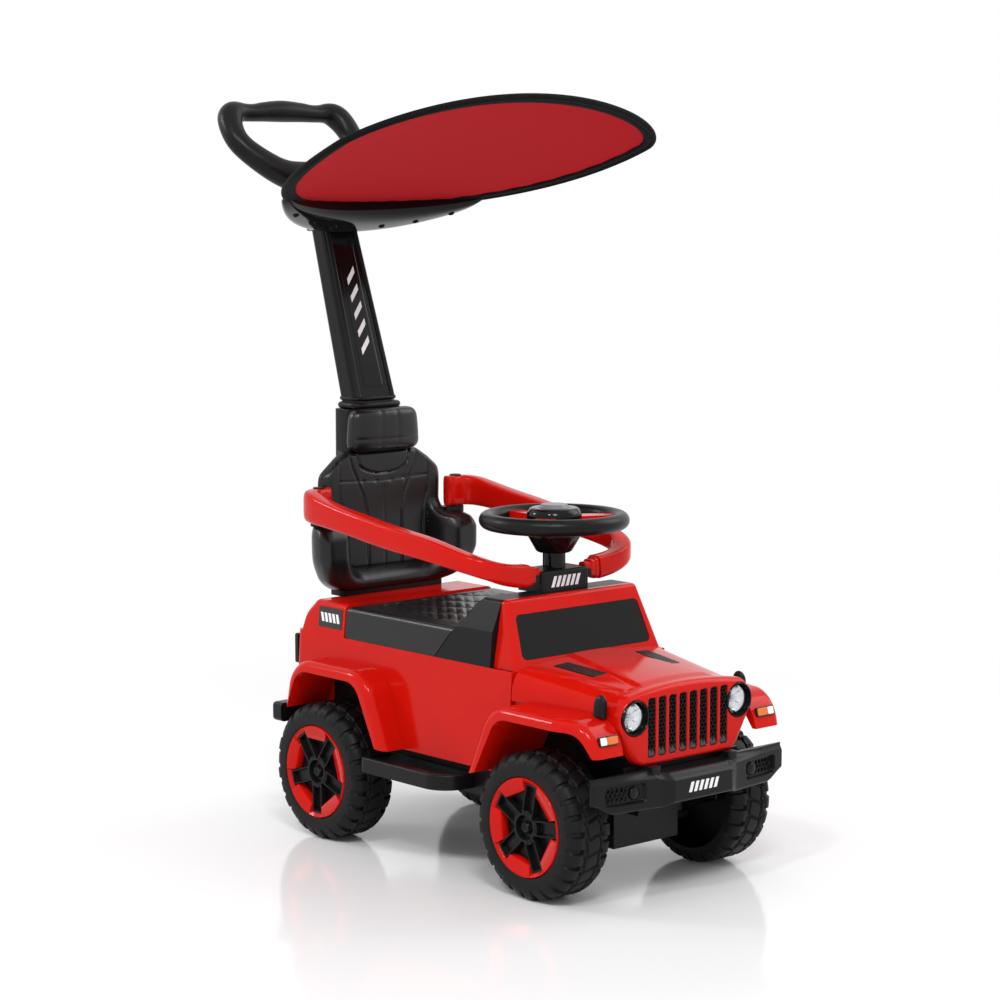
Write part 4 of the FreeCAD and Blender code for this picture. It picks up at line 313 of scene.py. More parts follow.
def mouldedLeather(name, baseHex, hexCodes, grainMm, cloudMm):
    # polypropylene with a leather grain cut into the mould: creased cells that break up a soft shine
    material, tree, shader, where = newMaterial(name, baseHex, Roughness=0.3, IOR=1.5,
                                                Specular_IOR_Level=0.36)
    grain = addNode(tree, "ShaderNodeTexVoronoi", {"feature": "SMOOTH_F1"},
                    {"Vector": where, "Scale": 1 / (grainMm * mm)})
    cloud = addNode(tree, "ShaderNodeTexNoise",
                    inputs={"Vector": where, "Scale": 1 / (cloudMm * mm), "Detail": 4})
    shadeBetween(tree, shader, cloud.outputs["Fac"], hexCodes)
    raiseBy(tree, shader, grain.outputs["Distance"], 0.22, 0.25)
    return material


def wovenCloth(name, hexCodes, threadMm, roughness):
    # plain weave: two sets of threads crossing, dull from every side; drawn about twice as coarse as real
    # threads so that they show
    material, tree, shader, where = newMaterial(name, hexCodes[0], Roughness=roughness,
                                                Specular_IOR_Level=0.1)
    waveScale = 2 * math.pi / 20 / (threadMm * mm)
    warp, weft = (addNode(tree, "ShaderNodeTexWave", {"bands_direction": axis},
                          {"Vector": where, "Scale": waveScale}) for axis in ("X", "Y"))
    crossing = addNode(tree, "ShaderNodeMath", {"operation": "MULTIPLY"},
                       {0: warp.outputs["Fac"], 1: weft.outputs["Fac"]})
    shadeBetween(tree, shader, crossing.outputs["Value"], hexCodes)
    raiseBy(tree, shader, crossing.outputs["Value"], 0.35, 0.3)
    return material


def plainFinish(name, hexCodes, speckleMm, **sockets):
    # a finish with a fine speckle between two near colours
    material, tree, shader, where = newMaterial(name, hexCodes[0], **sockets)
    speckle = addNode(tree, "ShaderNodeTexNoise",
                      inputs={"Vector": where, "Scale": 1 / (speckleMm * mm), "Detail": 2})
    shadeBetween(tree, shader, speckle.outputs["Fac"], hexCodes)
    return material


# ABS from a polished mould: a deep red with sharp reflections
glossRed = mouldedPlastic("glossRedAbs", ("#be0f06", "#c81408"), 0.12, 1, 6, 0.03, 0.14)
# polypropylene with a fine mould texture: a broad, soft sheen
satinBlack = mouldedPlastic("satinBlackPolypropylene", ("#0e0e0f", "#151516"), 0.32, 3, 0.9, 0.12, 0.16)
# black ABS from a polished mould: small bright reflections
glossBlack = mouldedPlastic("glossBlackAbs", ("#09090a", "#0d0d0e"), 0.13, 1, 5, 0.03, 0.2)
# blow-moulded polyethylene: a dull, slightly uneven black
tyreBlack = mouldedPlastic("mattBlackPolyethylene", ("#0f0f10", "#161617"), 0.46, 4, 1.4, 0.3, 0.15)
# satin ABS in a light and a dark grey: soft highlights
hornGrey = mouldedPlastic("satinGreyAbs", ("#6d6e72", "#77787c"), 0.3, 2, 2, 0.05)
ledgeGrey = mouldedPlastic("satinDarkGreyAbs", ("#3a3a3c", "#444446"), 0.4, 2, 2, 0.05, 0.2)
leatherBlack = mouldedLeather("leatherGrainPlastic", "#151516", ("#0c0c0d", "#131314"), 2.2, 30)
shadeRed = wovenCloth("redPolyesterCloth", ("#a8161d", "#c01e26"), 1.6, 0.9)
bindingBlack = wovenCloth("blackBindingTape", ("#0a0a0b", "#161617"), 1.4, 0.8)
# zinc-plated steel has a soft grey gleam, vacuum-plated chrome a bright mirror
steelPlain = plainFinish("zincPlatedSteel", ("#a9abae", "#b9bbbe"), 1.5, Metallic=1, Roughness=0.35)
lampChrome = plainFinish("vacuumPlatedChrome", ("#d9dadd", "#e6e7e9"), 4, Metallic=1, Roughness=0.08)
# clear polystyrene lets the bowl show through; amber and smoke ABS are glossy and dense
lampClear = plainFinish("clearPolystyrene", ("#f2f5f8", "#ffffff"), 8, Transmission_Weight=1, Roughness=0.03,
                        IOR=1.59)
lampAmber = plainFinish("amberAbs", ("#d8641c", "#e07a2e"), 3, Roughness=0.15, IOR=1.5)
lampSmoke = plainFinish("smokeBlackAbs", ("#0c0b0c", "#121012"), 3, Roughness=0.15, IOR=1.5,
                        Specular_IOR_Level=0.2)
# pad print and sticker vinyl: flat colour with a faint shine
printWhite = plainFinish("whitePadPrint", ("#e6e6e8", "#f2f2f3"), 2, Roughness=0.4, IOR=1.5)
plateBlack = plainFinish("blackStickerVinyl", ("#0d0d0e", "#141415"), 2, Roughness=0.25, IOR=1.5)
print("finishes", len(bpy.data.materials))

# the finish that each listed frame node is given
wheelNames = ("front_right", "front_left", "rear_right", "rear_left")
dressed = {
    glossRed: ["body_shell", "windshield_frame", "hood_panel", "grille_panel", "steering_spokes",
               "guard_arm_left", "guard_arm_right", *("rim_ring_" + name for name in wheelNames)],
    satinBlack: ["hood_vents", "hood_latches", "grille_insert", "headlight_bezels", "dash_console",
                 "front_bumper", "rear_bumper", "chassis_pan", "steering_block", "steering_rim",
                 "storage_bin", "column_collar", "push_handle", "guard_caps", "footboard_left",
                 "footboard_right", "tie_bar", "knuckle_left", "knuckle_right",
                 *("hub_star_" + name for name in wheelNames)],
    glossBlack: ["windshield_panel", "push_column", "bracket_lower", "bracket_upper", "steering_hub"],
    leatherBlack: ["seat_lid", "backrest_shell", "backrest_pad", "headrest_pad"],
    steelPlain: ["rear_axle", "hinge_pins", "steering_shaft", "bracket_screws", "canopy_hoop"],
    shadeRed: ["canopy_fabric"], bindingBlack: ["canopy_binding"], lampChrome: ["headlight_reflectors"],
    lampClear: ["headlight_lenses", "fog_lamps"], lampAmber: ["marker_lamps"], lampSmoke: ["tail_lamps"],
    hornGrey: ["horn_button"], tyreBlack: ["tyre_" + name for name in wheelNames],
}
for material, names in dressed.items():
    for name in names:
        mesh = frame["nodes"][name].data
        mesh.materials.clear()
        mesh.materials.append(material)
print("dressed", sum(len(names) for names in dressed.values()), "nodes")

# wheels: a treaded tyre, a red ring and a star of walled spokes
tread = {"lugs": 26, "perLug": 14, "lugDepth": 3.6, "grooveDepth": 2.6, "shoulder": 13, "treadHalf": 17,
         "crown": 0.5, "rimEdge": 58.2, "innerLip": 66, "boss": 16, "bore": 6.1, "webFront": 17.9,
         "webBack": 13, "wall": 7, "sideWall": 5, "lip": 3, "bead": 6, "beadLow": 1.5, "beadIn": 1,
         "treadFade": 3, "lugEdge": (-3.5, -2.2), "lugGap": (0.32, 0.39), "stagger": 0.25,
         "shortFrom": (24, 27), "shortEdge": 0.05, "shortDeep": 0.4, "zigzag": 8.4, "zigzagWide": 2.4,
         "grooveHalf": (0.9, 1.9), "middleHalf": 8, "rowHalf": 15, "middleCut": (0.05, 0.11),
         "middleSlant": 0.02, "rowCut": (0.07, 0.13), "rowSlant": -0.03}
spokes = {"count": 5, "half": 9.6, "wall": 2.4, "tip": 52.2, "apothem": 40, "floor": 19, "pocket": 22.5,
          "top": 28.5, "pocketFrom": (20, 21), "edge": 0.6, "spokeEdge": 0.5, "hub": 17.5,
          "hubRise": 0.8, "cup": 14.5, "cap": 7.5, "capEdge": 1.5, "capRise": 5.5, "dimple": (2.4, 3),
          "dimpleDeep": 1.2, "ringOuter": 57.3, "ringFace": 32, "backBelow": 1, "ringDish": 2.6,
          "ringEdge": 0.8, "innerEdge": 0.7, "gap": 0.3,
          "reach": ((0.02, 0.28, 10), (0.29, 0.42, 14), (0.46, 0.92, 14), (0.925, 1, 8))}
wheelTurn = {"front_right": -12, "front_left": 20, "rear_right": 36, "rear_left": 5}


def offCentre(value):
    # distance from the middle of the unit that a value falls in
    return np.abs(value - np.floor(value) - 0.5)


def tyreSurface(halfWidth, radius):
    # a profile of (across, radius) turned round the axle; lugs and grooves lower its radius
    d = tread
    bend = np.linspace(0, math.pi / 2, 9)
    flat = np.linspace(-d["treadHalf"], d["treadHalf"], 45)
    roundIn = halfWidth - d["treadHalf"]
    shoulderX = -d["treadHalf"] - roundIn * np.cos(bend)
    inner = np.stack([shoulderX, radius - d["shoulder"] * (1 - np.sin(bend))], -1)
    crown = np.stack([flat, radius - d["crown"] * (flat / d["treadHalf"]) ** 2], -1)[1:-1]
    under, behind = radius - d["wall"], d["sideWall"] - halfWidth
    sides = [[-halfWidth, d["innerLip"]], [-halfWidth, d["innerLip"] + d["lip"]]]
    walls = [[halfWidth, d["rimEdge"] + d["bead"]], [halfWidth, d["rimEdge"] + d["beadLow"]],
             [halfWidth - d["beadIn"], d["rimEdge"]],
             [d["webFront"], d["rimEdge"]], [d["webFront"], d["bore"]], [-halfWidth, d["bore"]],
             [-halfWidth, d["boss"]], [d["webBack"], d["boss"]], [d["webBack"], under], [behind, under],
             [behind, d["innerLip"]]]
    profile = np.concatenate([sides, inner, crown, inner[::-1] * [-1, 1], walls])
    turn = around(d["lugs"] * d["perLug"])
    across, high = profile[:, 0][None], profile[:, 1][None]
    place, out = turn[:, None] * d["lugs"] / (2 * math.pi), np.abs(across)
    staggered = place + d["stagger"] * np.sign(across)
    onTread = softStep(radius - d["shoulder"], radius - d["shoulder"] + d["treadFade"], high)
    shoulder = softStep(*(d["treadHalf"] + edge for edge in d["lugEdge"]), out)
    lugGap = softStep(*d["lugGap"], offCentre(staggered))
    everySecond = softStep(-d["shortEdge"], d["shortEdge"], np.sin(math.pi * staggered))
    short = everySecond * softStep(*d["shortFrom"], out)
    zigzag = d["zigzag"] + d["zigzagWide"] * 2 * offCentre(place)
    ring = 1 - softStep(*d["grooveHalf"], np.abs(out - zigzag))
    inMiddle = out < d["middleHalf"]
    inRow = ~inMiddle & (out < d["rowHalf"])
    cutMiddle = (1 - softStep(*d["middleCut"], offCentre(place + d["middleSlant"] * across))) * inMiddle
    cutRow = (1 - softStep(*d["rowCut"], offCentre(place + 0.5 + d["rowSlant"] * across))) * inRow
    low = d["lugDepth"] * shoulder * np.maximum(lugGap, d["shortDeep"] * short)
    cuts = np.maximum(ring, np.maximum(cutMiddle, cutRow))
    low = np.maximum(low, d["grooveDepth"] * cuts * (1 - shoulder))
    return across + 0 * place, high - low * onTread, turn


def ringInner(turn):
    # the red ring's opening: a chord between spokes, drawn out round each spoke's tip
    d = spokes
    step = 2 * math.pi / d["count"]
    offSpoke = np.abs((turn + step / 2) % step - step / 2)
    chord = d["apothem"] / np.cos(step / 2 - offSpoke)
    atSpoke = chord * np.sin(offSpoke) < d["half"] + d["gap"]
    return np.where(atSpoke, d["tip"] + d["gap"], chord), offSpoke


def starSurface(turn, radius):
    # height over the wheel's web: walled spokes, a walled hub with a cap, and the floor between
    d = spokes
    within = lambda edge, value: 1 - softStep(edge - d["edge"], edge, value)
    inner, offSpoke = ringInner(turn)
    r = radius * (inner - d["gap"])
    beside = r * np.sin(offSpoke)
    inSpoke = 1 - softStep(d["half"] - d["spokeEdge"], d["half"], beside)
    inPocket = within(d["half"] - d["wall"], beside) * softStep(*d["pocketFrom"], r)
    inPocket = inPocket * within(d["tip"] - d["wall"], r)
    height = d["floor"] + (d["top"] - d["floor"]) * inSpoke - (d["top"] - d["pocket"]) * inSpoke * inPocket
    height = np.maximum(height, d["floor"] + (d["top"] + d["hubRise"] - d["floor"]) * within(d["hub"], r))
    height -= (d["top"] - d["pocket"]) * within(d["cup"], r)
    height += d["capRise"] * (1 - softStep(d["cap"] - d["capEdge"], d["cap"], r))
    return r, height - d["dimpleDeep"] * (1 - softStep(*d["dimple"], r))


def wheel(name):
    # tyre, ring and star share an axle; phase turns the spokes to where they stand
    side = 1 if name.endswith("left") else -1
    centreX, centreY, centreZ = (c / mm for c in spinAt["wheel_%s_spin" % name])
    low, high = nodeBox("tyre_" + name)
    phase = math.radians(wheelTurn[name])

    def turned(across, r, turn):
        return inFrame(centreX + side * across, centreY - midY / mm + r * np.sin(turn),
                       centreZ + r * np.cos(turn))

    body = "wheel_" + name
    across, r, turn = tyreSurface((high[0] - low[0]) / 2, (high[2] - low[2]) / 2)
    tyre = loft(turned(across, r, turn[:, None]), True)
    makePiece("tyre-" + name, [tyre], tyreBlack, ["tyre_" + name], body)
    d = spokes
    turn = around(600)[:, None]
    inner = ringInner(turn)[0]
    outer = np.full_like(inner, d["ringOuter"])
    face, dish, back = d["ringFace"], d["ringFace"] - d["ringDish"], d["floor"] - d["backBelow"]
    r = np.concatenate([outer, outer, outer - d["ringEdge"], inner + d["innerEdge"], inner, inner], 1)
    across = np.array([[back, face - d["ringEdge"], face, dish, dish - d["innerEdge"], back]])
    ring = loft(turned(across, r, turn + phase), True)
    makePiece("rimRing-" + name, [ring], glossRed, ["rim_ring_" + name], body, sharp=50)
    turn = turn[:, 0][None]
    reach = np.concatenate([np.linspace(*run) for run in d["reach"]])[:, None]
    r, height = starSurface(turn, reach)
    r = np.concatenate([r, r[-1:], r[:1]])
    height = np.concatenate([height, np.full((2, turn.shape[1]), back)])
    star = loft(turned(height, r, turn + phase))
    makePiece("hubStar-" + name, [star], satinBlack, ["hub_star_" + name], body, sharp=35)


for name in wheelNames:
    wheel(name)
print("wheels")

# seat lid with a quilted top, hollow below and open for the two hinge posts
seat = {"edgeRound": 8, "lean": 2.6, "knee": 20, "slope": 33, "wall": 3, "hingeIn": 9, "tail": 7,
        "rise": 0.22, "rearLow": 2, "rearGap": 0.1, "rearIn": 4, "postLow": 106.5, "postHigh": 117.6,
        "postTop": 3.2, "skin": 0.4, "quiltHalf": 96, "quiltFront": 4, "quiltRear": 168, "quiltFade": 6,
        "diamondWide": 62, "diamondLong": 76, "quiltDepth": 3.4, "puffPower": 0.25, "ribs": 4,
        "ribDepth": 1.1, "ribFrom": (0.5, 0.8), "underFade": 4}


def lidSkin(low, high, inset):
    # up one side, over rounded edges and down the other; the front end leans back, and behind the hinge the
    # top falls in an arc
    d = seat
    foot, top, bendRadius = high[0] - inset, high[0] - d["lean"] - inset, d["edgeRound"] - inset
    upper = high[2] - inset
    bend = np.linspace(0, math.pi / 2, 7)
    flat = np.linspace(top - bendRadius, 0, 92)[1:]
    halfX = np.concatenate([[foot, (foot + top) / 2], top - bendRadius * (1 - np.cos(bend)), flat])
    halfZ = np.concatenate([[low[2], low[2] + d["knee"]], upper - bendRadius * (1 - np.sin(bend)),
                            np.full(len(flat), upper)])
    x = np.concatenate([halfX, -halfX[-2::-1]])[None]
    z = np.concatenate([halfZ, halfZ[-2::-1]])[None]
    front = low[1] + d["slope"] * (high[2] - z) / (high[2] - low[2])
    share = np.concatenate([np.linspace(0, 0.94, 180), np.linspace(0.943, 1, 20)])[:, None]
    hingeY = high[1] - d["hingeIn"]
    y = front + share * (hingeY + d["tail"] - front)
    behind = np.maximum(y - hingeY, 0)
    z = np.minimum(z, high[2] - d["hingeIn"] + np.sqrt(d["hingeIn"] ** 2 - behind ** 2) - inset)
    return x + 0 * y, y, np.maximum(z, low[2] + d["rise"] * behind)


def seatLid():
    # quilted skin with a hollow under it, a front wall, and a rear wall between the posts
    d = seat
    fade = lambda room: softStep(0, d["quiltFade"], room)
    low, high = nodeBox("seat_lid")
    x, y, z = lidSkin(low, high, 0)
    inside = fade(d["quiltHalf"] - np.abs(x)) * fade(y - d["quiltFront"]) * fade(d["quiltRear"] - y)
    acrossA = x / d["diamondWide"] + y / d["diamondLong"]
    acrossB = x / d["diamondWide"] - y / d["diamondLong"]
    puff = np.abs(np.sin(math.pi * acrossA) * np.sin(math.pi * acrossB)) ** d["puffPower"]
    ribs = np.abs(np.sin(math.pi * d["ribs"] * acrossB))
    pressed = d["quiltDepth"] * (1 - puff) + d["ribDepth"] * (1 - ribs) * softStep(*d["ribFrom"], puff)
    outer = inFrame(x, y, z - softStep(high[2] - 0.5, high[2], z) * inside * pressed)
    innerX, innerY, innerZ = lidSkin(low, high, d["wall"])
    under = softStep(0, d["underFade"], d["quiltHalf"] + d["quiltFade"] - np.abs(innerX))
    innerZ = innerZ - d["wall"] * under
    atPost = (np.abs(innerX) > d["postLow"]) & (np.abs(innerX) < d["postHigh"])
    overPost = np.maximum(innerZ, np.minimum(z - d["skin"], high[2] - d["postTop"]))
    innerZ = np.where(atPost, overPost, innerZ)
    walls = loft(np.concatenate([outer, inFrame(innerX, innerY, innerZ)[:, ::-1]], 1))
    endX, endY, endZ = (grid[0] for grid in lidSkin(low, high, d["skin"]))
    front = loft(np.stack([inFrame(endX, endY + move, endZ) for move in (d["skin"] / 2, d["wall"])]))
    arc = np.linspace(0, math.pi / 4, 6)
    hingeY, hingeZ = high[1] - d["hingeIn"], high[2] - d["hingeIn"]
    reach, rearY, rearZ = d["hingeIn"] - d["rearGap"], high[1] - d["wall"], low[2] + d["rearLow"]
    outline = [(rearY, rearZ), (hingeY + reach, rearZ)]
    outline += [(hingeY + reach * math.cos(a), hingeZ + reach * math.sin(a)) for a in arc]
    outline += [(hingeY + d["rearIn"], hingeZ + d["rearIn"]), (rearY, hingeZ)]
    rear = plate(outline, -d["postLow"], d["postLow"], alongX)
    makePiece("quiltedSeat", [walls, front, rear], leatherBlack, ["seat_lid"], "lid", sharp=50)


seatLid()
print("seat")

# backrest, headrest and the stand behind them
back = {"height": (296, 316, 344, 364, 377, 386, 392, 430, 440, 454, 471),
        "half": (90, 115, 127, 127.5, 124, 112, 96, 97.5, 96, 82, 58),
        "wingShare": (0.45, 0.8, 1, 1, 0.85, 0.5, 0.25, 0.1, 0.07, 0.04, 0), "frontY": 245, "rearY": 284,
        "rearUp": 268, "rearTurn": (370, 405), "rearPower": 0.8, "wing": 34, "lean": 4, "dish": 6,
        "panelHalf": 72, "panelLow": 322, "panelRound": 26, "rollFront": 24, "rollWide": 24,
        "rollTurn": (45, 95), "upper": (378, 404), "upperFlat": 0.88, "edge": 13, "footEdge": 14,
        "topEdge": 9, "endRound": 12, "footDraw": 14, "rearFootDraw": 10, "rearTopDraw": 8,
        "fineRows": (372, 394), "piping": 1.2, "pipingHalf": 1.6, "pipingUpper": 0.6}
seams = {"depth": 1.7, "half": 1.3, "yoke": [(44, 471), (40, 458)], "yokeBow": (40, 456, 15),
         "inner": [(56, 468), (50, 448), (41, 430), (33, 412), (28, 392), (27, 318)],
         "outer": [(86, 440), (78, 424), (70, 408), (64, 390), (60, 318)], "cross": [(0, 431), (78, 434)],
         "middle": [(0, 425), (0, 318)], "tucks": (12, 34), "tuckZ": 431, "tuckWide": 3, "tuckShare": 0.6,
         "shares": {"inner": 1, "outer": 1, "cross": 0.7, "middle": 0.5}, "yokeShare": 1.5}


def nearLine(x, z, points, half):
    # 1 on a polyline of (x, z) points, falling off as a bell curve either side
    best = np.full(np.broadcast(x, z).shape, 1e9)
    for (x0, z0), (x1, z1) in zip(points[:-1], points[1:]):
        wide, tall = x1 - x0, z1 - z0
        t = np.clip(((x - x0) * wide + (z - z0) * tall) / (wide ** 2 + tall ** 2), 0, 1)
        best = np.minimum(best, np.hypot(x - x0 - t * wide, z - z0 - t * tall))
    return np.exp(-(best / half) ** 2)


def backSeams(x, z):
    # seams pressed into the front, mirrored about the middle, and tucks where the cross seam is gathered
    d, x = seams, np.abs(x)
    wide, level, deep = d["yokeBow"]
    bow = [(wide * math.cos(b), level - deep * math.sin(b)) for b in np.linspace(0, math.pi / 2, 9)]
    pressed = [d["yokeShare"] * nearLine(x, z, d["yoke"] + bow, d["half"])]
    pressed += [share * nearLine(x, z, d[key], d["half"]) for key, share in d["shares"].items()]
    tuck = sum(np.exp(-((x - at) / d["tuckWide"]) ** 2 - ((z - d["tuckZ"]) / d["tuckWide"]) ** 2)
               for at in d["tucks"])
    return d["depth"] * (np.maximum.reduce(pressed) + d["tuckShare"] * tuck)


def backrest():
    # level sections: a flat panel with a quarter-round roll along its sides and foot, rounded wings and an
    # arched back
    d = back
    low, high = d["height"][0], d["height"][-1]
    rows = [(low, high, 150), (low, low + d["endRound"], 16), (*d["fineRows"], 30)]
    z = np.unique(np.concatenate([np.linspace(*row) for row in rows]))[:, None]
    footShare, topShare = (edgeRound(room, d["endRound"]) / d["endRound"] for room in (z - low, high - z))
    half = smoothThrough(z, d["height"], d["half"]) - d["footDraw"] * footShare
    lean = d["lean"] * (z - low) / (high - low)
    x = half * np.sin(np.linspace(-math.pi / 2, math.pi / 2, 240))[None]
    beyondSide = np.maximum(np.abs(x) - d["panelHalf"] + d["panelRound"], 0)
    beyondFoot = np.maximum(d["panelLow"] + d["panelRound"] - z, 0)
    outside = np.hypot(beyondSide, beyondFoot) - d["panelRound"]
    climb = np.clip(outside / d["rollWide"], 0, 1)
    wingHigh = d["wing"] * smoothThrough(z, d["height"], d["wingShare"]) + d["dish"]
    rollHigh = d["rollFront"] + (wingHigh - d["rollFront"]) * softStep(*d["rollTurn"], np.abs(x))
    upper = softStep(*d["upper"], z)
    roll = rollHigh * (1 - d["upperFlat"] * upper) * np.sqrt(1 - (1 - climb) ** 2)
    edge = edgeRound(half - np.abs(x), d["edge"]) + edgeRound(z - low, d["footEdge"])
    edge = edge + edgeRound(high - z, d["topEdge"])
    y = d["frontY"] + d["dish"] + lean - roll + edge + backSeams(x, z) * (outside < 0)
    y = y + d["piping"] * np.exp(-(outside / d["pipingHalf"]) ** 2) * (1 - d["pipingUpper"] * upper)
    arch = np.sin(np.linspace(math.pi / 2, -math.pi / 2, 61))[None, 1:-1]
    rear = d["rearY"] + (d["rearUp"] - d["rearY"]) * softStep(*d["rearTurn"], z) + lean
    rear = rear - d["rearFootDraw"] * footShare - d["rearTopDraw"] * topShare
    backY = y[:, -1:] + (rear - y[:, -1:]) * np.sqrt(1 - arch ** 2) ** d["rearPower"]
    xs, ys = np.concatenate([x, half * arch], 1), np.concatenate([y, backY], 1)
    makePiece("backrest", [loft(inFrame(xs, ys, z))], leatherBlack, ["backrest_shell", "backrest_pad"],
              sharp=60)


head = {"low": 470, "high": 524, "lowHalf": 57, "highHalf": 52, "frontY": 240, "rearY": 272, "square": 2.7,
        "drawPower": 5, "drawRound": 0.3, "leastDraw": 0.35, "sideDraw": 0.4, "crease": 1.1, "creaseX": 13,
        "creaseZ": 486, "uprightHalf": 1.6, "levelHalf": 1.8, "levelShare": 0.8}


def headrest():
    # superellipse sections that draw in towards the top and the bottom, creased across the front
    d = head
    t = np.sin(np.linspace(-1, 1, 60) * math.pi / 2)[:, None]
    turn = around(120)[None]
    z = (d["low"] + d["high"]) / 2 + (d["high"] - d["low"]) / 2 * t
    draw = np.maximum((1 - np.abs(t) ** d["drawPower"]) ** d["drawRound"], d["leastDraw"])
    half = d["lowHalf"] + (d["highHalf"] - d["lowHalf"]) * (z - d["low"]) / (d["high"] - d["low"])
    x = half * (1 - d["sideDraw"] + d["sideDraw"] * draw) * bulged(np.cos(turn), 2 / d["square"])
    depth = (d["rearY"] - d["frontY"]) / 2
    y = d["frontY"] + depth + depth * draw * bulged(np.sin(turn), 2 / d["square"])
    upright = np.exp(-((np.abs(x) - d["creaseX"]) / d["uprightHalf"]) ** 2)
    level = d["levelShare"] * np.exp(-((z - d["creaseZ"]) / d["levelHalf"]) ** 2)
    y = y + d["crease"] * (upright + level) * softStep(0.2, 0.5, -np.sin(turn))
    makePiece("headrest", [loft(inFrame(x, y, z))], leatherBlack, ["headrest_pad"], sharp=60)


stand = {"pedestal": ((-84, 236, 291), (84, 262, 312), 6), "spine": ((-42, 268, 300), (42, 306, 522.5), 9),
         "lug": ((88, 235, 382), (112, 256, 390.7), 1), "lugRadius": 11, "pin": (112, 245)}


def backStand():
    # a low pedestal, a spine up to the column, and a lug with a round end under each guard arm
    d = stand
    heights = [corner[2] for corner in d["lug"][:2]]
    disc = lathe(d["pin"], [d["lugRadius"]] * 2, heights, "z", 40)
    shells = bothSides(roundedBox(*d["lug"])) + bothSides(disc)
    shells += [roundedBox(*d["pedestal"]), roundedBox(*d["spine"])]
    makePiece("backStand", shells, satinBlack, ["backrest_shell"], bevel=1.5)


backrest()
headrest()
backStand()
print("backrest")

# sun shade: an egg-shaped sheet bent over its width and pitched up at the front, with a bound edge
shade = {"half": 253, "front": 92, "rear": 291, "sag": 29, "pitch": 20.8, "atY": 41, "atZ": 879,
         "clothInset": 9, "cloth": 1.4, "puckers": 46, "pucker": 0.4, "puckerFrom": (0.86, 0.97), "dip": 2.2,
         "roll": 4, "band": ((3.6, 3.9), (7, 3.5), (8.2, 2.6), (9.4, 3.3), (14, 3.1), (17, 2.6), (18, 1.6))}


def eggEdge(turn, inset):
    # two half ellipses of one width: a shallow one in front and a deep one behind
    d = shade
    deep = np.where(np.sin(turn) < 0, d["front"] - inset, d["rear"] - inset)
    return (d["half"] - inset) * np.cos(turn), deep * np.sin(turn)


def onShade(x, y, lift):
    # bend: height falls along a circle across the width; then the whole is pitched and put in its place
    d = shade
    radius = (d["half"] ** 2 + d["sag"] ** 2) / (2 * d["sag"])
    angle = x / radius
    bentX, bentZ = (radius + lift) * np.sin(angle), (radius + lift) * np.cos(angle) - radius
    cosine, sine = math.cos(math.radians(d["pitch"])), math.sin(math.radians(d["pitch"]))
    return inFrame(bentX, d["atY"] + y * cosine + bentZ * sine, d["atZ"] - y * sine + bentZ * cosine)


def shadeCloth():
    # a disc grid under the egg's edge: upper side out to the edge, then the under side back in
    d = shade
    turn = around(240)[None]
    edgeX, edgeY = eggEdge(turn, d["clothInset"])
    share = np.concatenate([np.linspace(0.001, 1, 50), np.linspace(1, 0.001, 50)])[:, None]
    lift = np.repeat([d["cloth"] / 2, -d["cloth"] / 2], 50)[:, None]
    pull = d["pucker"] * np.sin(turn * d["puckers"]) * softStep(*d["puckerFrom"], share)
    pull = pull - d["dip"] * (1 - share ** 2)
    skin = loft(onShade(edgeX * share, edgeY * share, lift + pull))
    cloth = makePiece("shadeCloth", [skin], shadeRed, ["canopy_fabric"], sharp=60)


def shadeBinding():
    # a folded tape with a rolled edge and a groove between its two bands, carried round the egg
    d = shade
    turn = around(360)[:, None]
    bend = np.linspace(math.pi / 2, 3 * math.pi / 2, 9)
    rolled = np.stack([d["roll"] + d["roll"] * np.cos(bend), d["roll"] * np.sin(bend)], -1)[::-1]
    band = np.array(d["band"])
    inset, lift = np.concatenate([rolled, band, band[::-1] * [1, -1]]).T[:, None]
    tape = loft(onShade(*eggEdge(turn, inset), lift + 0 * turn), True)
    makePiece("shadeBinding", [tape], bindingBlack, ["canopy_binding"], sharp=50)


shadeCloth()
shadeBinding()
print("shade")

# push handle: a loop whose thickness swells at its corners, joined to the column by a neck and two webs
grip = {"across": (0, 22, 41, 56, 72, 86, 93.5, 96, 95, 92, 88.5, 82, 74, 66, 50, 30, 0),
        "reach": (50, 50.5, 54, 62.5, 77, 93, 105.5, 117, 130, 143, 150.5, 156.5, 158.5, 157.5, 156.5,
                  159, 160.5),
        "thick": (20, 20, 18.5, 17, 16, 15, 14.8, 14.8, 15.2, 16, 16.5, 16, 14, 12, 11.5, 13, 14.5),
        "square": 2.2, "flat": 0.98, "topY": 364, "topZ": 776, "tilt": 51.48, "neckWide": 27, "neckDeep": 15,
        "neckRun": (26, 42), "neckFlare": 6, "neckThin": 1.5, "neckSquare": 4, "webFrom": (10, 30),
        "webRun": (34, 32), "web": 13, "webThin": (2, 1), "skin": 2.4}


def onGrip(x, reach, off):
    # the loop's own plane leans back from the column's top
    d = grip
    cosine, sine = math.cos(math.radians(d["tilt"])), math.sin(math.radians(d["tilt"]))
    y, z = d["topY"] + reach * cosine - off * sine, d["topZ"] + reach * sine + off * cosine
    return np.stack(np.broadcast_arrays(x, y, z), -1)


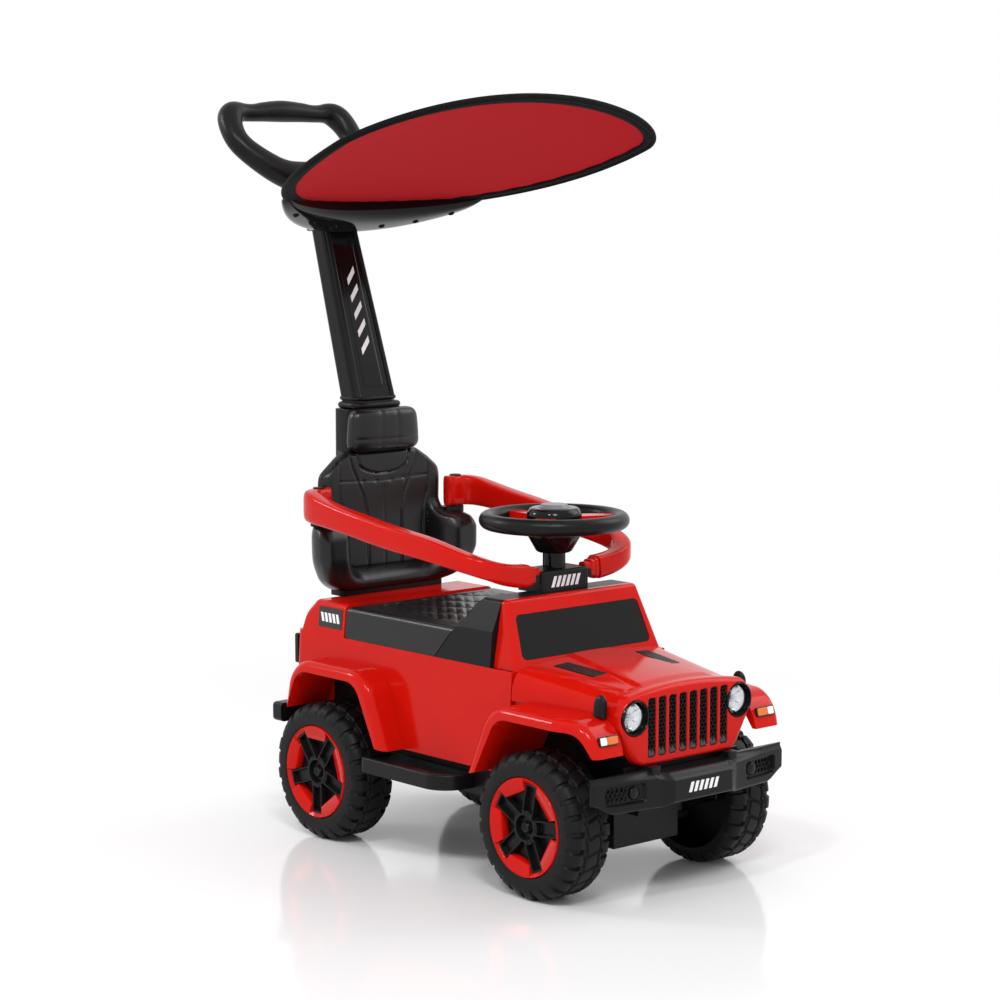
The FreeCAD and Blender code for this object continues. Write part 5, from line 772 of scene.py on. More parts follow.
def pushHandle():
    # the loop: knots joined by straight runs, smoothed four times by (before + 2 here + after) / 4, as a tube
    d = grip
    half = np.stack([d["across"], d["reach"], d["thick"]], -1).astype(float)
    knots = np.concatenate([half, half[-2:0:-1] * [-1, 1, 1]])
    knots = np.concatenate([knots, knots[:1]])
    run = np.concatenate([[0], np.cumsum(np.hypot(*np.diff(knots[:, :2], axis=0).T))])
    at = np.linspace(0, run[-1], 150, endpoint=False)
    x, reach, thick = (np.interp(at, run, values) for values in knots.T)
    for _ in range(4):
        x, reach, thick = ((np.roll(v, 1) + 2 * v + np.roll(v, -1)) / 4 for v in (x, reach, thick))
    normal = onGrip(0, 0, 1.0) - onGrip(0, 0, 0.0)
    sizes = np.stack([thick * d["flat"], thick], -1)
    loop = tube(onGrip(x, reach, 0.0), sizes, d["square"], 32, normal, True)
    share = np.linspace(0, 1, 14)
    stemY, stemZ = d["topY"] + d["neckRun"][0] * share, d["topZ"] + d["neckRun"][1] * share
    wide, deep = d["neckWide"] + d["neckFlare"] * share ** 2, d["neckDeep"] - d["neckThin"] * share
    stem = np.stack([0 * share, stemY, stemZ], -1)
    neck = tube(stem, np.stack([wide, deep], -1), d["neckSquare"], 40)
    across, reach = (start + length * share for start, length in zip(d["webFrom"], d["webRun"]))
    sizes = np.stack([d["web"] - thin * share for thin in d["webThin"]], -1)
    webs = [tube(onGrip(side * across, reach, 0 * share), sizes, d["square"], 28, normal)
            for side in (1, -1)]
    makePiece("pushHandle", [loop, neck, *webs], satinBlack, ["push_handle"], sharp=60, melt=d["skin"])


# shade bracket: one lens that grips the shade's rear edge and thins to rounded tips, with a socket round the
# column
bracket = {"half": 160, "outMiddle": 37, "outEnd": 5, "inMiddle": 29, "inEnd": 9, "lowMiddle": -24,
           "lowEnd": -7, "highMiddle": 8.5, "highEnd": 5.6, "swell": (2.2, 0.8), "tip": 0.97, "tipPower": 24,
           "power": 0.66, "socketLow": 752, "socketHigh": 778, "socketWall": 4, "socketSquare": 7,
           "screws": (40, 86, 128), "screw": 4.2, "screwRings": (1, 1, 0.8, 0.75, 0.05),
           "screwLifts": (4, -0.8, -1.4, 0.4, 0.4)}


def bracketAt(u):
    # at a share u of the half width: the egg's own edge there, and how far the lens reaches out, in, down and
    # up from it
    d = bracket
    x = d["half"] * u
    edge = shade["rear"] * np.sqrt(1 - (x / shade["half"]) ** 2)
    swell = (1 - np.abs(u) ** d["swell"][0]) ** d["swell"][1]
    out, into, low, high = (d[key + "End"] + (d[key + "Middle"] - d[key + "End"]) * swell
                            for key in ("out", "in", "low", "high"))
    tip = np.sqrt(1 - d["tip"] * np.abs(u) ** d["tipPower"])
    return x, edge, out, into, low * tip, high * tip


def shadeBracket():
    # superellipse sections across the shade's edge, from tip to tip
    d = bracket
    x, edge, out, into, low, high = bracketAt(np.sin(np.linspace(-math.pi / 2, math.pi / 2, 141))[:, None])
    turn = around(56)[None]
    v = edge + (out - into) / 2 + (out + into) / 2 * bulged(np.cos(turn), d["power"])
    lift = (low + high) / 2 + (high - low) / 2 * bulged(np.sin(turn), d["power"])
    shell = loft(onShade(x + 0 * turn, v, lift))
    ends = [d["socketLow"], d["socketHigh"]]
    path = np.array([[0, columnAt(z)[2], z] for z in ends], float)
    halves = [[size / 2 + d["socketWall"] for size in columnAt(z)[:2]] for z in ends]
    socket = tube(path, halves, d["socketSquare"], 48)
    makePiece("shadeBracket", [shell, socket], glossBlack, ["bracket_lower", "bracket_upper"], bevel=0.8)
    r = d["screw"] * np.array(d["screwRings"])[:, None]
    heads = []
    for at in d["screws"]:
        x, edge, out, into, low, high = bracketAt(at / d["half"])
        lift = low + np.array(d["screwLifts"])[:, None]
        heads.append(loft(onShade(at + r * np.cos(turn), edge + (out - into) / 2 + r * np.sin(turn),
                                  lift + 0 * turn)))
    makePiece("bracketScrews", bothSides(*heads), satinBlack, ["bracket_screws"])


# push column: raised beads beside a front panel with slanting bars, and a beaded collar
column = {"lowZ": 522.5, "topZ": 776, "lowSize": (66, 36, 283), "topSize": (54, 30, 364), "bead": 3.4,
          "beadIn": 5.5, "beadSunk": 0.6, "beadLow": 14, "beadHigh": 24, "panelLow": 548, "panelHigh": 742,
          "panelHalf": 17, "panelCorner": 5, "panelProud": 0.7, "panelEdge": 1.5, "panelSunk": 0.3,
          "panelBack": -1.5, "bars": (604, 626, 648, 670, 692), "barHalf": 8, "barRises": (-14, 2, 10, -6),
          "barFrom": 0.2, "barTo": 0.75, "collarRise": 3, "collarIn": 2, "collarPower": 0.4,
          "collarSlant": 0.32, "collarZ": 524, "collars": ((4.5, 0, 4.2), (2.5, 8.5, 2.6))}


def columnAt(z):
    # width, depth and place along the car at a height
    d = column
    share = (z - d["lowZ"]) / (d["topZ"] - d["lowZ"])
    return [low + (top - low) * share for low, top in zip(d["lowSize"], d["topSize"])]


def onColumn(a, z, proud):
    # a runs across from the middle as measured at the foot, and narrows as the column does
    width, deep, y = columnAt(z)
    return inFrame(a * width / column["lowSize"][0], y - deep / 2 - proud, z)


def columnTrim():
    # beads are round tubes up the column's front edges and round its foot; panel and bars follow its face
    d = column
    z = np.linspace(d["lowZ"] + d["beadLow"], d["topZ"] - d["beadHigh"], 60)
    width, deep, y = columnAt(z)
    beads = []
    for side in (1, -1):
        path = np.stack([side * (width / 2 - d["beadIn"]), y - deep / 2 + d["beadSunk"], z], -1)
        beads.append(tube(path, np.full((len(z), 2), d["bead"]), 2, 20))
    turn = around(96)
    a, b = bulged(np.cos(turn), d["collarPower"]), bulged(np.sin(turn), d["collarPower"])
    width, deep, y = columnAt(d["collarZ"])
    for size, rise, thick in d["collars"]:
        grow = size - d["collarIn"]
        path = np.stack([(width / 2 + grow) * a, y + d["collarSlant"] * rise + (deep / 2 + grow) * b,
                         0 * turn + d["collarZ"] + d["collarRise"] + rise], -1)
        beads.append(tube(path, np.full((len(turn), 2), thick), 2, 18, (0, 0, 1), True))
    makePiece("columnBeads", beads, satinBlack, ["column_collar"], sharp=60)
    middle, tall = (d["panelLow"] + d["panelHigh"]) / 2, (d["panelHigh"] - d["panelLow"]) / 2
    u, v = np.meshgrid(np.linspace(-1, 1, 30), np.linspace(d["panelLow"], d["panelHigh"], 80))
    a = d["panelHalf"] * u
    depth = -roundBoxDistance(a, v - middle, (d["panelHalf"], tall), d["panelCorner"])
    proud = d["panelProud"] * softStep(0, d["panelEdge"], depth) - d["panelSunk"]
    makePiece("columnPanel", [slab(onColumn(a, v, proud), onColumn(a, v, d["panelBack"]))], glossBlack)
    bars = []
    a = d["barHalf"] * np.array([-1, 1, 1, -1.0])
    for at in d["bars"]:
        v = at + np.array(d["barRises"], float)
        bars.append(loft(np.stack([onColumn(a, v, d["barFrom"]), onColumn(a, v, d["barTo"])])))
    makePiece("columnBars", bars, printWhite)


pushHandle()
shadeBracket()
columnTrim()
print("handle, bracket and column")

# guard arms: a band carried round the rider, and the red neck that meets it at the front
guard = {"x": (95, 103, 112, 124.5, 133, 137, 139.7, 138.4, 134, 128, 119, 104, 80, 57.5),
         "y": (245, 245, 245, 243.8, 234, 215.6, 149.5, 80.9, 0, -40, -61.6, -74, -77, -77),
         "drop": (0, 0, 0, 0, 0, 0.02, 0.127, 0.298, 0.455, 0.564, 0.665, 0.79, 0.945, 1),
         "tall": (39, 39, 39, 39, 38.5, 35, 29.5, 29, 27, 23.5, 22.5, 24, 26.8, 28), "lowZ": 391,
         "frontZ": 336, "thick": 11, "square": 4.5, "endRound": 11, "endFlat": 0.94, "fineEnd": 12,
         "pin": (112, 245), "capRadii": (7.6, 7.6, 6.6, 0.3), "capRises": (-1, 0.9, 1.5, 1.7),
         "neckX": (36, 44, 45.5, 51, 52, 57), "neckTall": (8.5, 8.5, 11, 11, 13, 13), "neckDeep": 0.72,
         "neckY": -77, "neckZ": 349.5, "neckSquare": 4}


def guardArms():
    # a superellipse band along a curve through the knots, smoothed thirty times as the handle's loop is
    d = guard
    knots = np.stack([d["x"], d["y"]], -1).astype(float)
    run = np.concatenate([[0], np.cumsum(np.hypot(*np.diff(knots, axis=0).T))])
    at = np.concatenate([np.linspace(0, d["fineEnd"], 14)[:-1], np.linspace(d["fineEnd"], run[-1], 160)])
    lines = np.stack([smoothThrough(at, run, d[key]) for key in ("x", "y", "drop", "tall")])
    for _ in range(30):
        lines[:, 1:-1] = (lines[:, :-2] + 2 * lines[:, 1:-1] + lines[:, 2:]) / 4
    x, y, drop, tall = lines
    z = d["lowZ"] + (d["frontZ"] - d["lowZ"]) * drop + tall / 2
    thick = d["thick"] * np.sqrt(1 - d["endFlat"] * (1 - np.clip(at / d["endRound"], 0, 1)) ** 2)
    band = tube(np.stack([x, y, z], -1), np.stack([tall / 2, thick], -1), d["square"], 48, (0, 0, 1))
    for side, shell in (("left", band), ("right", mirrored(band))):
        makePiece("guardArm-" + side, [shell], glossRed, ["guard_arm_" + side], "guard_" + side, bevel=1.2)


def guardNecks():
    # a stepped red neck between the steering block and each arm's end
    d = guard
    x, tall = np.array(d["neckX"]), np.array(d["neckTall"])
    path = np.stack([x, 0 * x + d["neckY"], 0 * x + d["neckZ"]], -1)
    neck = tube(path, np.stack([tall, tall * d["neckDeep"]], -1), d["neckSquare"], 36, (0, 0, 1))
    makePiece("guardNecks", bothSides(neck), glossRed, bevel=0.8)


def guardCaps():
    # flat black discs over the pins
    d = guard
    cap = lathe(d["pin"], d["capRadii"], d["lowZ"] + d["tall"][0] + np.array(d["capRises"]), "z", 48)
    makePiece("guardCaps", bothSides(cap), satinBlack, ["guard_caps"])


guardArms()
guardNecks()
guardCaps()
print("guard arms")

# nose: a red face with tall openings, honeycomb and small ledges behind them, and lamps set deep at both
# sides
nose = {"slots": 8, "pitch": 16.6, "slotHalf": 6.1, "slotLow": 168, "slotHigh": 236, "corner": 3.6,
        "pocket": 8, "slotEdge": (-0.3, 0.9), "frontY": -293.3, "backY": -279, "edge": 9, "footEdge": 4,
        "edgeMost": 12.5, "inner": 66, "low": 159, "footRise": 3, "footTurn": (70, 90), "crown": 248,
        "fall": 10, "crownHalf": 104, "browFall": 6, "browTurn": (90, 107),
        "share": (0, 0.05, 0.13, 0.35, 0.63, 0.82, 0.93, 1), "wide": (73, 81, 87, 97, 106.5, 106.5, 103, 96),
        "meshFront": -292.2, "meshBack": -285.6, "meshDeep": 4.5, "meshPitch": 5.2, "meshWall": 0.5,
        "meshRim": 1.1, "meshEdge": 0.6, "ledgeHalf": 4.4,
        "ledge": ((-287, 169.6), (-293, 169.6), (-292.8, 172), (-290.4, 177.5), (-287, 177.5)),
        "panel": ((-91, -284.5, 117), (91, -279.4, 158.6), 1)}
lamps = {"at": (83.5, 215.7), "hole": 20.3, "holeDeep": 13.6, "holeEdge": (-0.4, 0.5), "bowl": 15,
         "bowlFront": -285, "bowlBack": -280.4, "bowlSkin": 0.4, "lobeTurns": 3, "lobe": 1.6,
         "lobePower": 0.6, "bulb": 4.2, "bulbEdge": (0.18, 0.26), "lens": 16.8, "lensFront": -287.4,
         "lensRings": (0.03, 0.5, 0.85, 0.97, 1, 1, 0.97, 0.03),
         "lensDepths": (-0.9, -0.7, -0.3, 0, 0.4, 1.2, 1.5, 1.5),
         "tube": ((20.2, -279.4), (20.2, -293.5), (19.7, -294.2), (18.7, -294.2), (18.2, -293.5),
                  (17.2, -284.9), (15.2, -284.6), (15.2, -279.4))}
slotCentres = [(i - (nose["slots"] - 1) / 2) * nose["pitch"] for i in range(nose["slots"])]


def noseTop(x):
    # the brow: a parabola across the face that turns down at its shoulders
    d = nose
    brow = d["browFall"] * softStep(*d["browTurn"], np.abs(x))
    return d["crown"] - d["fall"] * (x / d["crownHalf"]) ** 2 - brow


def slotInside(x, z):
    # how far inside the nearest slot's edge, below 0 outside
    d = nose
    middle, half = (d["slotLow"] + d["slotHigh"]) / 2, (d["slotHalf"], (d["slotHigh"] - d["slotLow"]) / 2)
    return -np.minimum.reduce([roundBoxDistance(x - at, z - middle, half, d["corner"])
                               for at in slotCentres])


def noseFace():
    # fixed lines over the slots, then lines that spread to the face's own outline; slots and lamp holes sink
    # the surface
    d = nose
    v = np.linspace(0, 1, 150)[:, None]
    wide = smoothThrough(v, d["share"], d["wide"])
    outer = d["inner"] + np.linspace(0, 1, 70)[None, 1:] * (wide - d["inner"])
    fixed = np.linspace(-d["inner"], d["inner"], 241)[None] + 0 * v
    x = np.concatenate([-outer[:, ::-1], fixed, outer], 1)
    top, low = noseTop(x), d["low"] + d["footRise"] * softStep(*d["footTurn"], np.abs(x))
    z = low + v * (top - low)
    edge = edgeRound(wide - np.abs(x), d["edge"]) + edgeRound(top - z, d["edge"])
    sunk = np.minimum(edge + edgeRound(z - low, d["footEdge"]), d["edgeMost"])
    sunk = np.maximum(sunk, d["pocket"] * softStep(*d["slotEdge"], slotInside(x, z)))
    inHole = lamps["hole"] - np.hypot(np.abs(x) - lamps["at"][0], z - lamps["at"][1])
    y = d["frontY"] + np.maximum(sunk, lamps["holeDeep"] * softStep(*lamps["holeEdge"], inHole))
    makePiece("noseFace", [slab(inFrame(x, y, z), inFrame(x, d["backY"], z))], glossRed, ["grille_panel"],
              sharp=50)
    half = slotCentres[-1] + d["slotHalf"]
    x, z = np.meshgrid(np.linspace(-half, half, 261), np.linspace(d["slotLow"], d["slotHigh"], 131))
    within = lambda edge, value: softStep(edge, edge + d["meshEdge"], value)
    holes = within(d["meshWall"], hexWall(x, z, d["meshPitch"])) * within(d["meshRim"], slotInside(x, z))
    mesh = slab(inFrame(x, d["meshFront"] + d["meshDeep"] * holes, z), inFrame(x, d["meshBack"], z))
    makePiece("noseMesh", [mesh], satinBlack, ["grille_insert"], sharp=30)
    ledges = [plate(d["ledge"], at - d["ledgeHalf"], at + d["ledgeHalf"], alongX) for at in slotCentres]
    makePiece("nosePanel", [roundedBox(*d["panel"])], satinBlack, sharp=30)
    makePiece("noseLedges", ledges, ledgeGrey, sharp=30, bevel=0.5)


def headlights():
    # a plated bowl with six lobes round a small bulb, a flat clear lens in front of it, and a black tube
    # round both
    d = lamps
    r = np.linspace(0.03, 1, 26)[:, None]
    waves = np.abs(np.cos(d["lobeTurns"] * around(96)[None]))
    lobes = d["lobe"] * waves * np.sin(math.pi * r) ** d["lobePower"]
    y = d["bowlBack"] + (d["bowlFront"] - d["bowlBack"]) * r ** 2 - lobes
    y = y - d["bulb"] * (1 - softStep(*d["bulbEdge"], r))
    r = np.concatenate([r, r[-1:], r[:1]])
    y = np.concatenate([y, np.full((2, y.shape[1]), d["bowlBack"] + d["bowlSkin"])])
    bowl = lathe(d["at"], d["bowl"] * r, y, "y")
    makePiece("lampBowls", bothSides(bowl), lampChrome, ["headlight_reflectors"], sharp=50)
    rings, depths = d["lens"] * np.array(d["lensRings"]), d["lensFront"] + np.array(d["lensDepths"])
    lens = lathe(d["at"], rings, depths, "y")
    makePiece("lampLenses", bothSides(lens), lampClear, ["headlight_lenses"], sharp=50)
    ring = lathe(d["at"], *np.array(d["tube"]).T, "y", closed=True)
    makePiece("lampTubes", bothSides(ring), glossBlack, ["headlight_bezels"],
              sharp=35)


# bonnet: a raised middle that widens forwards, soft shoulders, flush vents and side latches
hood = {"backY": -132, "frontY": -279.2, "backHalf": 126, "midY": -205, "midHalf": 114.5, "frontHalf": 104,
        "low": 217.6, "backCrown": 261, "backFall": 5, "raise": 3, "raiseEdge": (-1, 7), "raiseFade": 16,
        "lineX": 40, "lineY": -190, "lineSpread": 0.17, "backPower": 20, "frontPower": 7, "shoulder": 0.45,
        "wall": 3}
vents = {"front": -210, "back": -150, "half": 11.5, "x": 66, "turn": 0.12, "corner": 3, "pitch": 4.4,
         "wall": (0.7, 1.2), "rim": (2.2, 2.8), "proud": 0.7, "edge": (-0.4, 0.6), "hole": 1.1, "deep": 2.5}
latches = {"x": 112.4, "y": -266, "heights": (217.5, 219), "bodyLow": 220, "bodyHigh": 242, "levelZ": 230,
           "lean": 0.1, "roundFrom": 231, "roundMost": 12, "roundOver": 11.4, "leastShare": 0.04,
           "half": (4.6, 8.5), "square": 3}


def hoodLine(y):
    # half width of the raised middle
    return hood["lineX"] + hood["lineSpread"] * (hood["lineY"] - y)


def hoodTop(x, y):
    # a parabola across that deepens forwards, with the middle raised inside two lines that spread towards
    # the nose
    d = hood
    share = (y - d["backY"]) / (d["frontY"] - d["backY"])
    crown = d["backCrown"] + (nose["crown"] - d["backCrown"]) * share
    fall = d["backFall"] + (nose["fall"] - d["backFall"]) * share
    step = 0.5 - softStep(*d["raiseEdge"], np.abs(x) - hoodLine(y))
    fade = softStep(d["frontY"], d["frontY"] + d["raiseFade"], y)
    return crown - fall * (x / nose["crownHalf"]) ** 2 + d["raise"] * step * fade


def hoodShell(inset):
    # the shoulder is a superellipse from the side up to the top, of a high power behind and a lower one in
    # front
    d = hood
    t = np.sin(np.linspace(-math.pi / 2, math.pi / 2, 181))[None]
    y = np.linspace(d["backY"], d["frontY"], 120)[:, None]
    half = smoothThrough(-y, [-d[key] for key in ("backY", "midY", "frontY")],
                         [d[key] for key in ("backHalf", "midHalf", "frontHalf")]) - inset
    x = half * t
    share = (y - d["backY"]) / (d["frontY"] - d["backY"])
    power = d["backPower"] + (d["frontPower"] - d["backPower"]) * share
    shoulder = (1 - np.abs(t) ** power) ** d["shoulder"]
    return inFrame(x, y, d["low"] + (hoodTop(x, y) - inset - d["low"]) * shoulder)


def bonnet():
    # a shell between two surfaces, vents on it as a honeycomb relief, and latches as tubes rounded over above
    makePiece("bonnet", [slab(hoodShell(0), hoodShell(hood["wall"]))], glossRed, ["hood_panel"], sharp=50)
    d = vents
    a, y = np.meshgrid(np.linspace(-d["half"], d["half"], 70), np.linspace(d["front"], d["back"], 120))
    x = d["x"] + d["turn"] * (y - d["back"]) + a
    middle, half = (d["front"] + d["back"]) / 2, (d["half"], (d["back"] - d["front"]) / 2)
    inside = -roundBoxDistance(a, y - middle, half, d["corner"])
    holes = softStep(*d["wall"], hexWall(x, y, d["pitch"])) * softStep(*d["rim"], inside)
    top = hoodTop(x, y) + d["proud"] * softStep(*d["edge"], inside) - d["hole"] * holes
    vent = slab(inFrame(x, y, top), inFrame(x, y, hoodTop(x, y) - d["deep"]))
    makePiece("bonnetVents", bothSides(vent), satinBlack, ["hood_vents"], sharp=30)
    d = latches
    z = np.concatenate([d["heights"], np.linspace(d["bodyLow"], d["bodyHigh"], 24)])
    over = np.clip(z - d["roundFrom"], 0, d["roundMost"]) / d["roundOver"]
    narrowing = np.sqrt(np.clip(1 - over ** 2, d["leastShare"], 1))
    path = np.stack([d["x"] - d["lean"] * (z - d["levelZ"]), 0 * z + d["y"], z], -1)
    latch = tube(path, np.stack([half * narrowing for half in d["half"]], -1), d["square"], 40)
    makePiece("bonnetLatches", bothSides(latch), satinBlack, ["hood_latches"], sharp=50)


# side lamps on the sloped ends of the front wings: a dark frame, amber inside and a white outer end
marker = {"at": (126.5, -294, 196.6), "up": (0, 0.243, 0.97), "out": (0, -0.97, 0.243), "half": (14.4, 5.6),
          "split": 3.2, "gap": 0.4, "rim": 1.2, "corner": 1.5, "spread": 1.6, "frame": (-2, 1.2),
          "lamp": (-1, 1.8)}


def markerShell(low, high, depths):
    # a rounded plate between two corners (across, up) in the slope's own plane
    d = marker
    turn = around(48)
    sides = []
    for lowEnd, highEnd, wave in zip(low, high, (np.cos(turn), np.sin(turn))):
        half = (highEnd - lowEnd) / 2
        straight = np.clip(half * d["spread"] * wave, d["corner"] - half, half - d["corner"])
        sides.append((lowEnd + highEnd) / 2 + straight + d["corner"] * wave)
    a, b = sides
    flat = np.array(d["at"]) + a[:, None] * [1, 0, 0] + b[:, None] * np.array(d["up"])
    rows = np.array([flat + depth * np.array(d["out"]) for depth in depths])
    return loft(inFrame(*np.moveaxis(rows, -1, 0)))


def sideLamps():
    # three rounded plates: the frame, and inside its rim the amber and the white one side by side
    d = marker
    wide, tall = d["half"]
    frames = markerShell((-wide, -tall), (wide, tall), d["frame"])
    makePiece("markerFrames", bothSides(frames), plateBlack, ["marker_lamps"],
              sharp=30, bevel=0.4)
    wide, tall = wide - d["rim"], tall - d["rim"]
    amber = markerShell((-wide, -tall), (d["split"], tall), d["lamp"])
    makePiece("markerAmber", bothSides(amber), lampAmber, sharp=30, bevel=0.5)
    white = markerShell((d["split"] + d["gap"], -tall), (wide, tall), d["lamp"])
    makePiece("markerWhite", bothSides(white), printWhite, sharp=30, bevel=0.5)


# front bumper: a forward middle plate, wings that sweep back, and in each wing a sunk pod with honeycomb
# and a lamp
bumper = {"half": 154, "knots": (0, 45, 48, 59, 62, 154),
          "front": (-319, -319, -318.4, -312.4, -311.6, -298.6), "low": 117, "lowDrop": 4,
          "dropTurn": (46, 60), "lowRise": 13, "riseTurn": (122, 156), "high": 152, "highRise": 4,
          "highTurn": (50, 66), "lean": 10, "leanLoss": 6, "leanTurn": (60, 120), "leanTall": 10, "edge": 4,
          "backMiddle": -286, "backWing": -293, "backTurn": (72, 76), "leastThick": 0.6, "podX": 109,
          "podZ": 134, "podHalf": (29, 11.5), "podCorner": 6, "podDeep": 5, "podEdge": 2.4, "meshFrom": 104,
          "meshTo": 133, "meshEdge": (3, 4.5), "meshDeep": 2.4, "meshPitch": 6.2, "meshWall": (0.7, 1.2),
          "legs": (((22, -287, 114), (38, -226, 126), 1), ((55, -306, 150), (69, -294, 159.5), 3)),
          "fogAt": (94.5, 134), "fog": 7.6, "fogRings": (1, 1, 0.93, 0.7, 0.4, 0.05),
          "fogDepths": (7, 3.4, 2.6, 1.9, 1.4, 1.2)}


def bumperFront(x):
    # how far forward the bumper reaches at a place across
    return smoothThrough(np.abs(x), bumper["knots"], bumper["front"])


def frontBumper():
    # a relief over (across, up): the lower edge rises at the ends, the top leans back, pods are sunk
    d = bumper
    x, v = np.meshgrid(np.linspace(-d["half"], d["half"], 441), np.linspace(0, 1, 64))
    side = np.abs(x)
    low = d["low"] - d["lowDrop"] * softStep(*d["dropTurn"], side)
    low = low + d["lowRise"] * softStep(*d["riseTurn"], side)
    high = d["high"] + d["highRise"] * softStep(*d["highTurn"], side)
    z = low + v * (high - low)
    lean = d["lean"] - d["leanLoss"] * softStep(*d["leanTurn"], side)
    y = bumperFront(x) + lean * softStep(0, 1, (z - high + d["leanTall"]) / d["leanTall"])
    y = y + edgeRound(z - low, d["edge"]) + edgeRound(d["half"] - side, d["edge"])
    pod = -roundBoxDistance(side - d["podX"], z - d["podZ"], d["podHalf"], d["podCorner"])
    fromX, toX = (softStep(at - 1, at + 1, side) for at in (d["meshFrom"], d["meshTo"]))
    inMesh = softStep(*d["meshEdge"], pod) * fromX * (1 - toX)
    holes = inMesh * softStep(*d["meshWall"], hexWall(side, z, d["meshPitch"]))
    y = y + d["podDeep"] * softStep(0, d["podEdge"], pod) + d["meshDeep"] * holes
    back = d["backMiddle"] + (d["backWing"] - d["backMiddle"]) * softStep(*d["backTurn"], side)
    face = slab(inFrame(x, np.minimum(y, back - d["leastThick"]), z), inFrame(x, back, z))
    shells = [face, *bothSides(*(roundedBox(*leg) for leg in d["legs"]))]
    makePiece("frontBumper", shells, satinBlack, ["front_bumper"], sharp=35)
    depths = bumperFront(d["fogAt"][0]) + np.array(d["fogDepths"])
    fog = lathe(d["fogAt"], d["fog"] * np.array(d["fogRings"]), depths, "y", 48)
    makePiece("fogLenses", bothSides(fog), lampSmoke, ["fog_lamps"], sharp=50)


# black sheets over the inner walls of the wheel housings: painted shade where the red walls fall dark
wellShade = {"front": ((62.4, -278, 98), (63.6, -108, 203), 0.3),
         "rear": ((96.2, 112, 100), (97.3, 236, 203), 0.3)}


def paintedWellShade():
    # thin upright black sheets against the walls, painted shade over the red that lies in shadow
    makePiece("paintedWellShade", bothSides(*(roundedBox(*box) for box in wellShade.values())), satinBlack, sharp=30)


# plain slanting white bars on the bumper, the steering block and both sides, and dark plates under the
# side ones
stripe = {"lean": 0.35, "half": 2.3, "sunk": 0.6, "bumper": (6, 8, 127, 138.5), "block": (6, 7.6, 334, 347),
          "blockY": -88, "side": (5, 7.5, 266, 277), "proud": 0.35, "sideProud": 1.0, "plateProud": 0.6,
          "plate": ((-23, 259), (23, 259), (23, 284), (-23, 284)), "panelX": 123.05, "panelY": 210.5,
          "panelZ": 260, "panelLean": 0.098}


def slantBars(count, pitch, low, high, onto, proud):
    # leaning bars in a row, given the depth that lifts them off their plate
    d = stripe
    shift = (high - low) * d["lean"] / 2
    bars = []
    for i in range(count):
        at = (i - (count - 1) / 2) * pitch
        outline = [(at - d["half"] - shift, low), (at + d["half"] - shift, low),
                   (at + d["half"] + shift, high), (at - d["half"] + shift, high)]
        bars.append(plate(outline, -d["sunk"], proud, onto))
    return bars


def onSide(a, b, depth):
    # the rear side panel leans in as it rises
    d = stripe
    return d["panelX"] - d["panelLean"] * (b - d["panelZ"]) + depth, d["panelY"] + a, b


def plainPrint():
    # rows of slanting outlines given depth on their faces
    d = stripe
    bars = []
    for row, faceY in ((d["bumper"], bumper["front"][0]), (d["block"], d["blockY"])):
        bars += slantBars(*row, lambda a, b, depth: (a, faceY - depth, b), d["proud"])
    bars += bothSides(*slantBars(*d["side"], onSide, d["sideProud"]))
    makePiece("whiteBars", bars, printWhite, sharp=30)
    makePiece("sidePlates", bothSides(plate(d["plate"], -d["sunk"], d["plateProud"], onSide)), plateBlack,
              sharp=30)


# steering hub: a turned cap with soft edges
hub = {"at": (0, -67),
       "profile": ((13.7, 354.4), (13.7, 372), (20, 373), (22, 374.5), (32, 392), (33, 395), (33, 417),
                   (32.2, 420), (29.5, 424.6), (27.6, 425.8), (24, 426), (19.5, 426), (19.5, 418.8))}


def steeringHub():
    # a profile of (radius, height) turned about the steering axis
    cap = lathe(hub["at"], *np.array(hub["profile"]).T, "z")
    makePiece("steeringHub", [cap], glossBlack, ["steering_hub"], "steering",
              sharp=35)


noseFace()
headlights()
bonnet()
sideLamps()
frontBumper()
paintedWellShade()
plainPrint()
steeringHub()
print("nose, bonnet, bumper and hub")


# floor, backdrop light and lamps; each lamp has its watts, its place and its width
stage = {"floorHalf": 40, "floorHex": "#f4f4f5", "fadeFrom": 0.6, "fadeTo": 1.5, "lightWorld": 0.72,
         "aim": (0, 0, 0.35)}
lights = {"key": (46, (-1.6, -2.2, 3.0), 0.8), "glint": (30, (-2.6, -1.2, 3.2), 0.4),
          "fill": (26, (2.4, -1.0, 2.2), 1.8), "rim": (20, (-1.8, 2.4, 2.0), 0.6)}


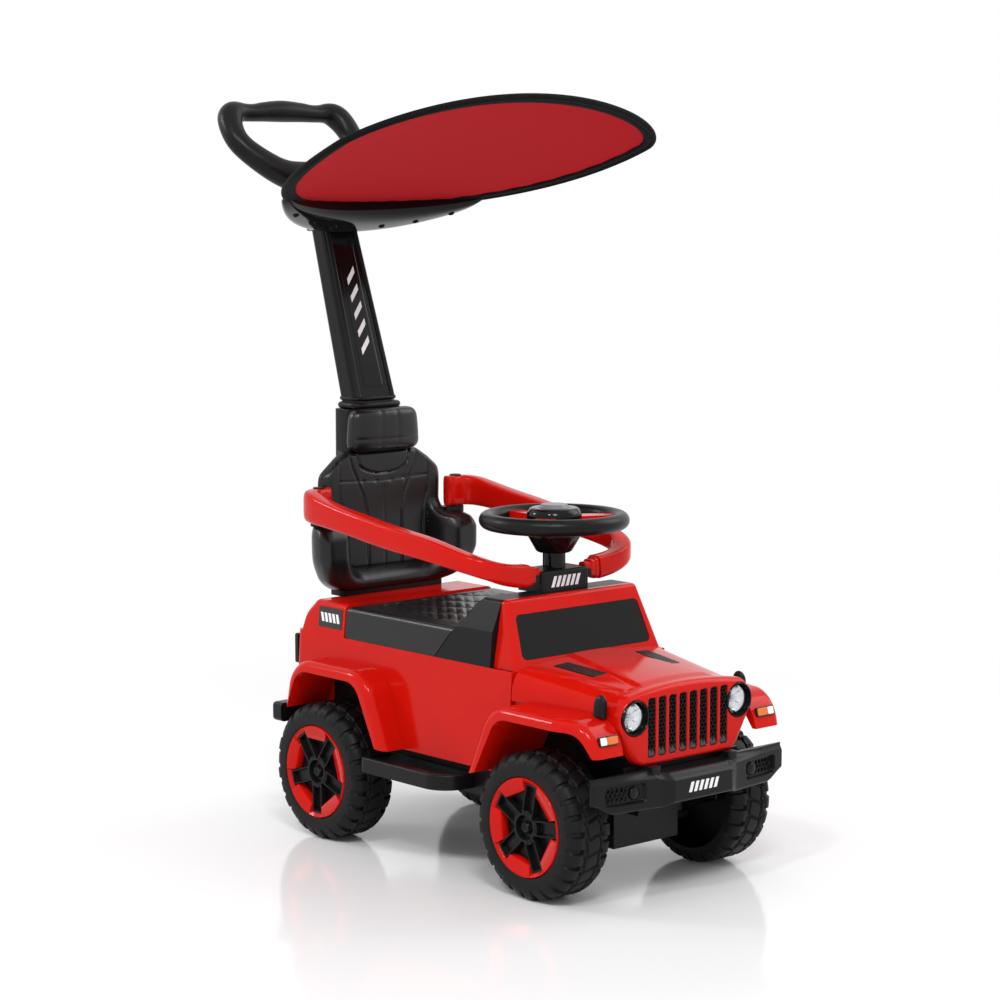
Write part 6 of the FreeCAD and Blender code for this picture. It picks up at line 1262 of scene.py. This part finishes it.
def setFloor():
    # near the car the floor is a pale glossy sheet; it fades to the white of the background with distance
    d = stage
    half = d["floorHalf"]
    mesh = bpy.data.meshes.new("floor")
    corners = [(-half, -half, 0), (half, -half, 0), (half, half, 0), (-half, half, 0)]
    mesh.from_pydata(corners, [], [(0, 1, 2, 3)])
    floor = bpy.data.objects.new("floor", mesh)
    bpy.context.scene.collection.objects.link(floor)
    material, tree, shader, where = newMaterial("whiteSheetFloor", d["floorHex"], Roughness=0.12, IOR=1.35)
    away = addNode(tree, "ShaderNodeVectorMath", {"operation": "LENGTH"}, {0: where})
    fade = addNode(tree, "ShaderNodeMapRange", {"interpolation_type": "SMOOTHSTEP"},
                   {"Value": away.outputs["Value"], "From Min": d["fadeFrom"], "From Max": d["fadeTo"]})
    glow = addNode(tree, "ShaderNodeEmission", inputs={"Color": (1, 1, 1, 1), "Strength": 1})
    blend = addNode(tree, "ShaderNodeMixShader", inputs={0: fade.outputs["Result"],
                                                         1: shader.outputs["BSDF"],
                                                         2: glow.outputs["Emission"]})
    tree.links.new(blend.outputs["Shader"], tree.nodes["Material Output"].inputs["Surface"])
    mesh.materials.append(material)


def setLight():
    # the background is full white to the eye, in reflections and through lenses, and dimmer as a light
    d = stage
    world = bpy.data.worlds.new("studio")
    bpy.context.scene.world = world
    world.use_nodes = True
    tree = world.node_tree
    path = addNode(tree, "ShaderNodeLightPath")
    seen = path.outputs["Is Camera Ray"]
    for ray in ("Is Glossy Ray", "Is Transmission Ray"):
        seen = addNode(tree, "ShaderNodeMath", {"operation": "MAXIMUM"}, {0: seen, 1: path.outputs[ray]})
        seen = seen.outputs["Value"]
    strength = addNode(tree, "ShaderNodeMapRange", inputs={"Value": seen, "To Min": d["lightWorld"],
                                                           "To Max": 1})
    background = tree.nodes["Background"]
    background.inputs["Color"].default_value = (1, 1, 1, 1)
    tree.links.new(strength.outputs["Result"], background.inputs["Strength"])
    for name, (watts, place, wide) in lights.items():
        lamp = bpy.data.lights.new(name, "AREA")
        lamp.energy, lamp.size = watts, wide
        holder = bpy.data.objects.new(name, lamp)
        bpy.context.scene.collection.objects.link(holder)
        holder.location = place
        holder.rotation_mode = "QUATERNION"
        holder.rotation_quaternion = (Vector(d["aim"]) - Vector(place)).to_track_quat("-Z", "Y")


viewpoint = {"azimuth": -41.5128, "elevation": 6.9322, "eye": (-2.16183, -2.49289, 0.82231), "focal": 97.14,
             "sensor": 36}


def setCamera():
    # azimuth turns from the front of the car, elevation lifts from the level
    d = viewpoint
    a, e = math.radians(d["azimuth"]), math.radians(d["elevation"])
    lookBack = Vector((math.sin(a) * math.cos(e), -math.cos(a) * math.cos(e), math.sin(e)))
    data = bpy.data.cameras.new("view")
    data.lens, data.sensor_width = d["focal"], d["sensor"]
    camera = bpy.data.objects.new("view", data)
    bpy.context.scene.collection.objects.link(camera)
    camera.location = d["eye"]
    camera.rotation_mode = "QUATERNION"
    camera.rotation_quaternion = (-lookBack).to_track_quat("-Z", "Y")
    bpy.context.scene.camera = camera


setFloor()
setLight()
setCamera()
bpy.context.scene.view_settings.view_transform = "Standard"
print("stage and camera")
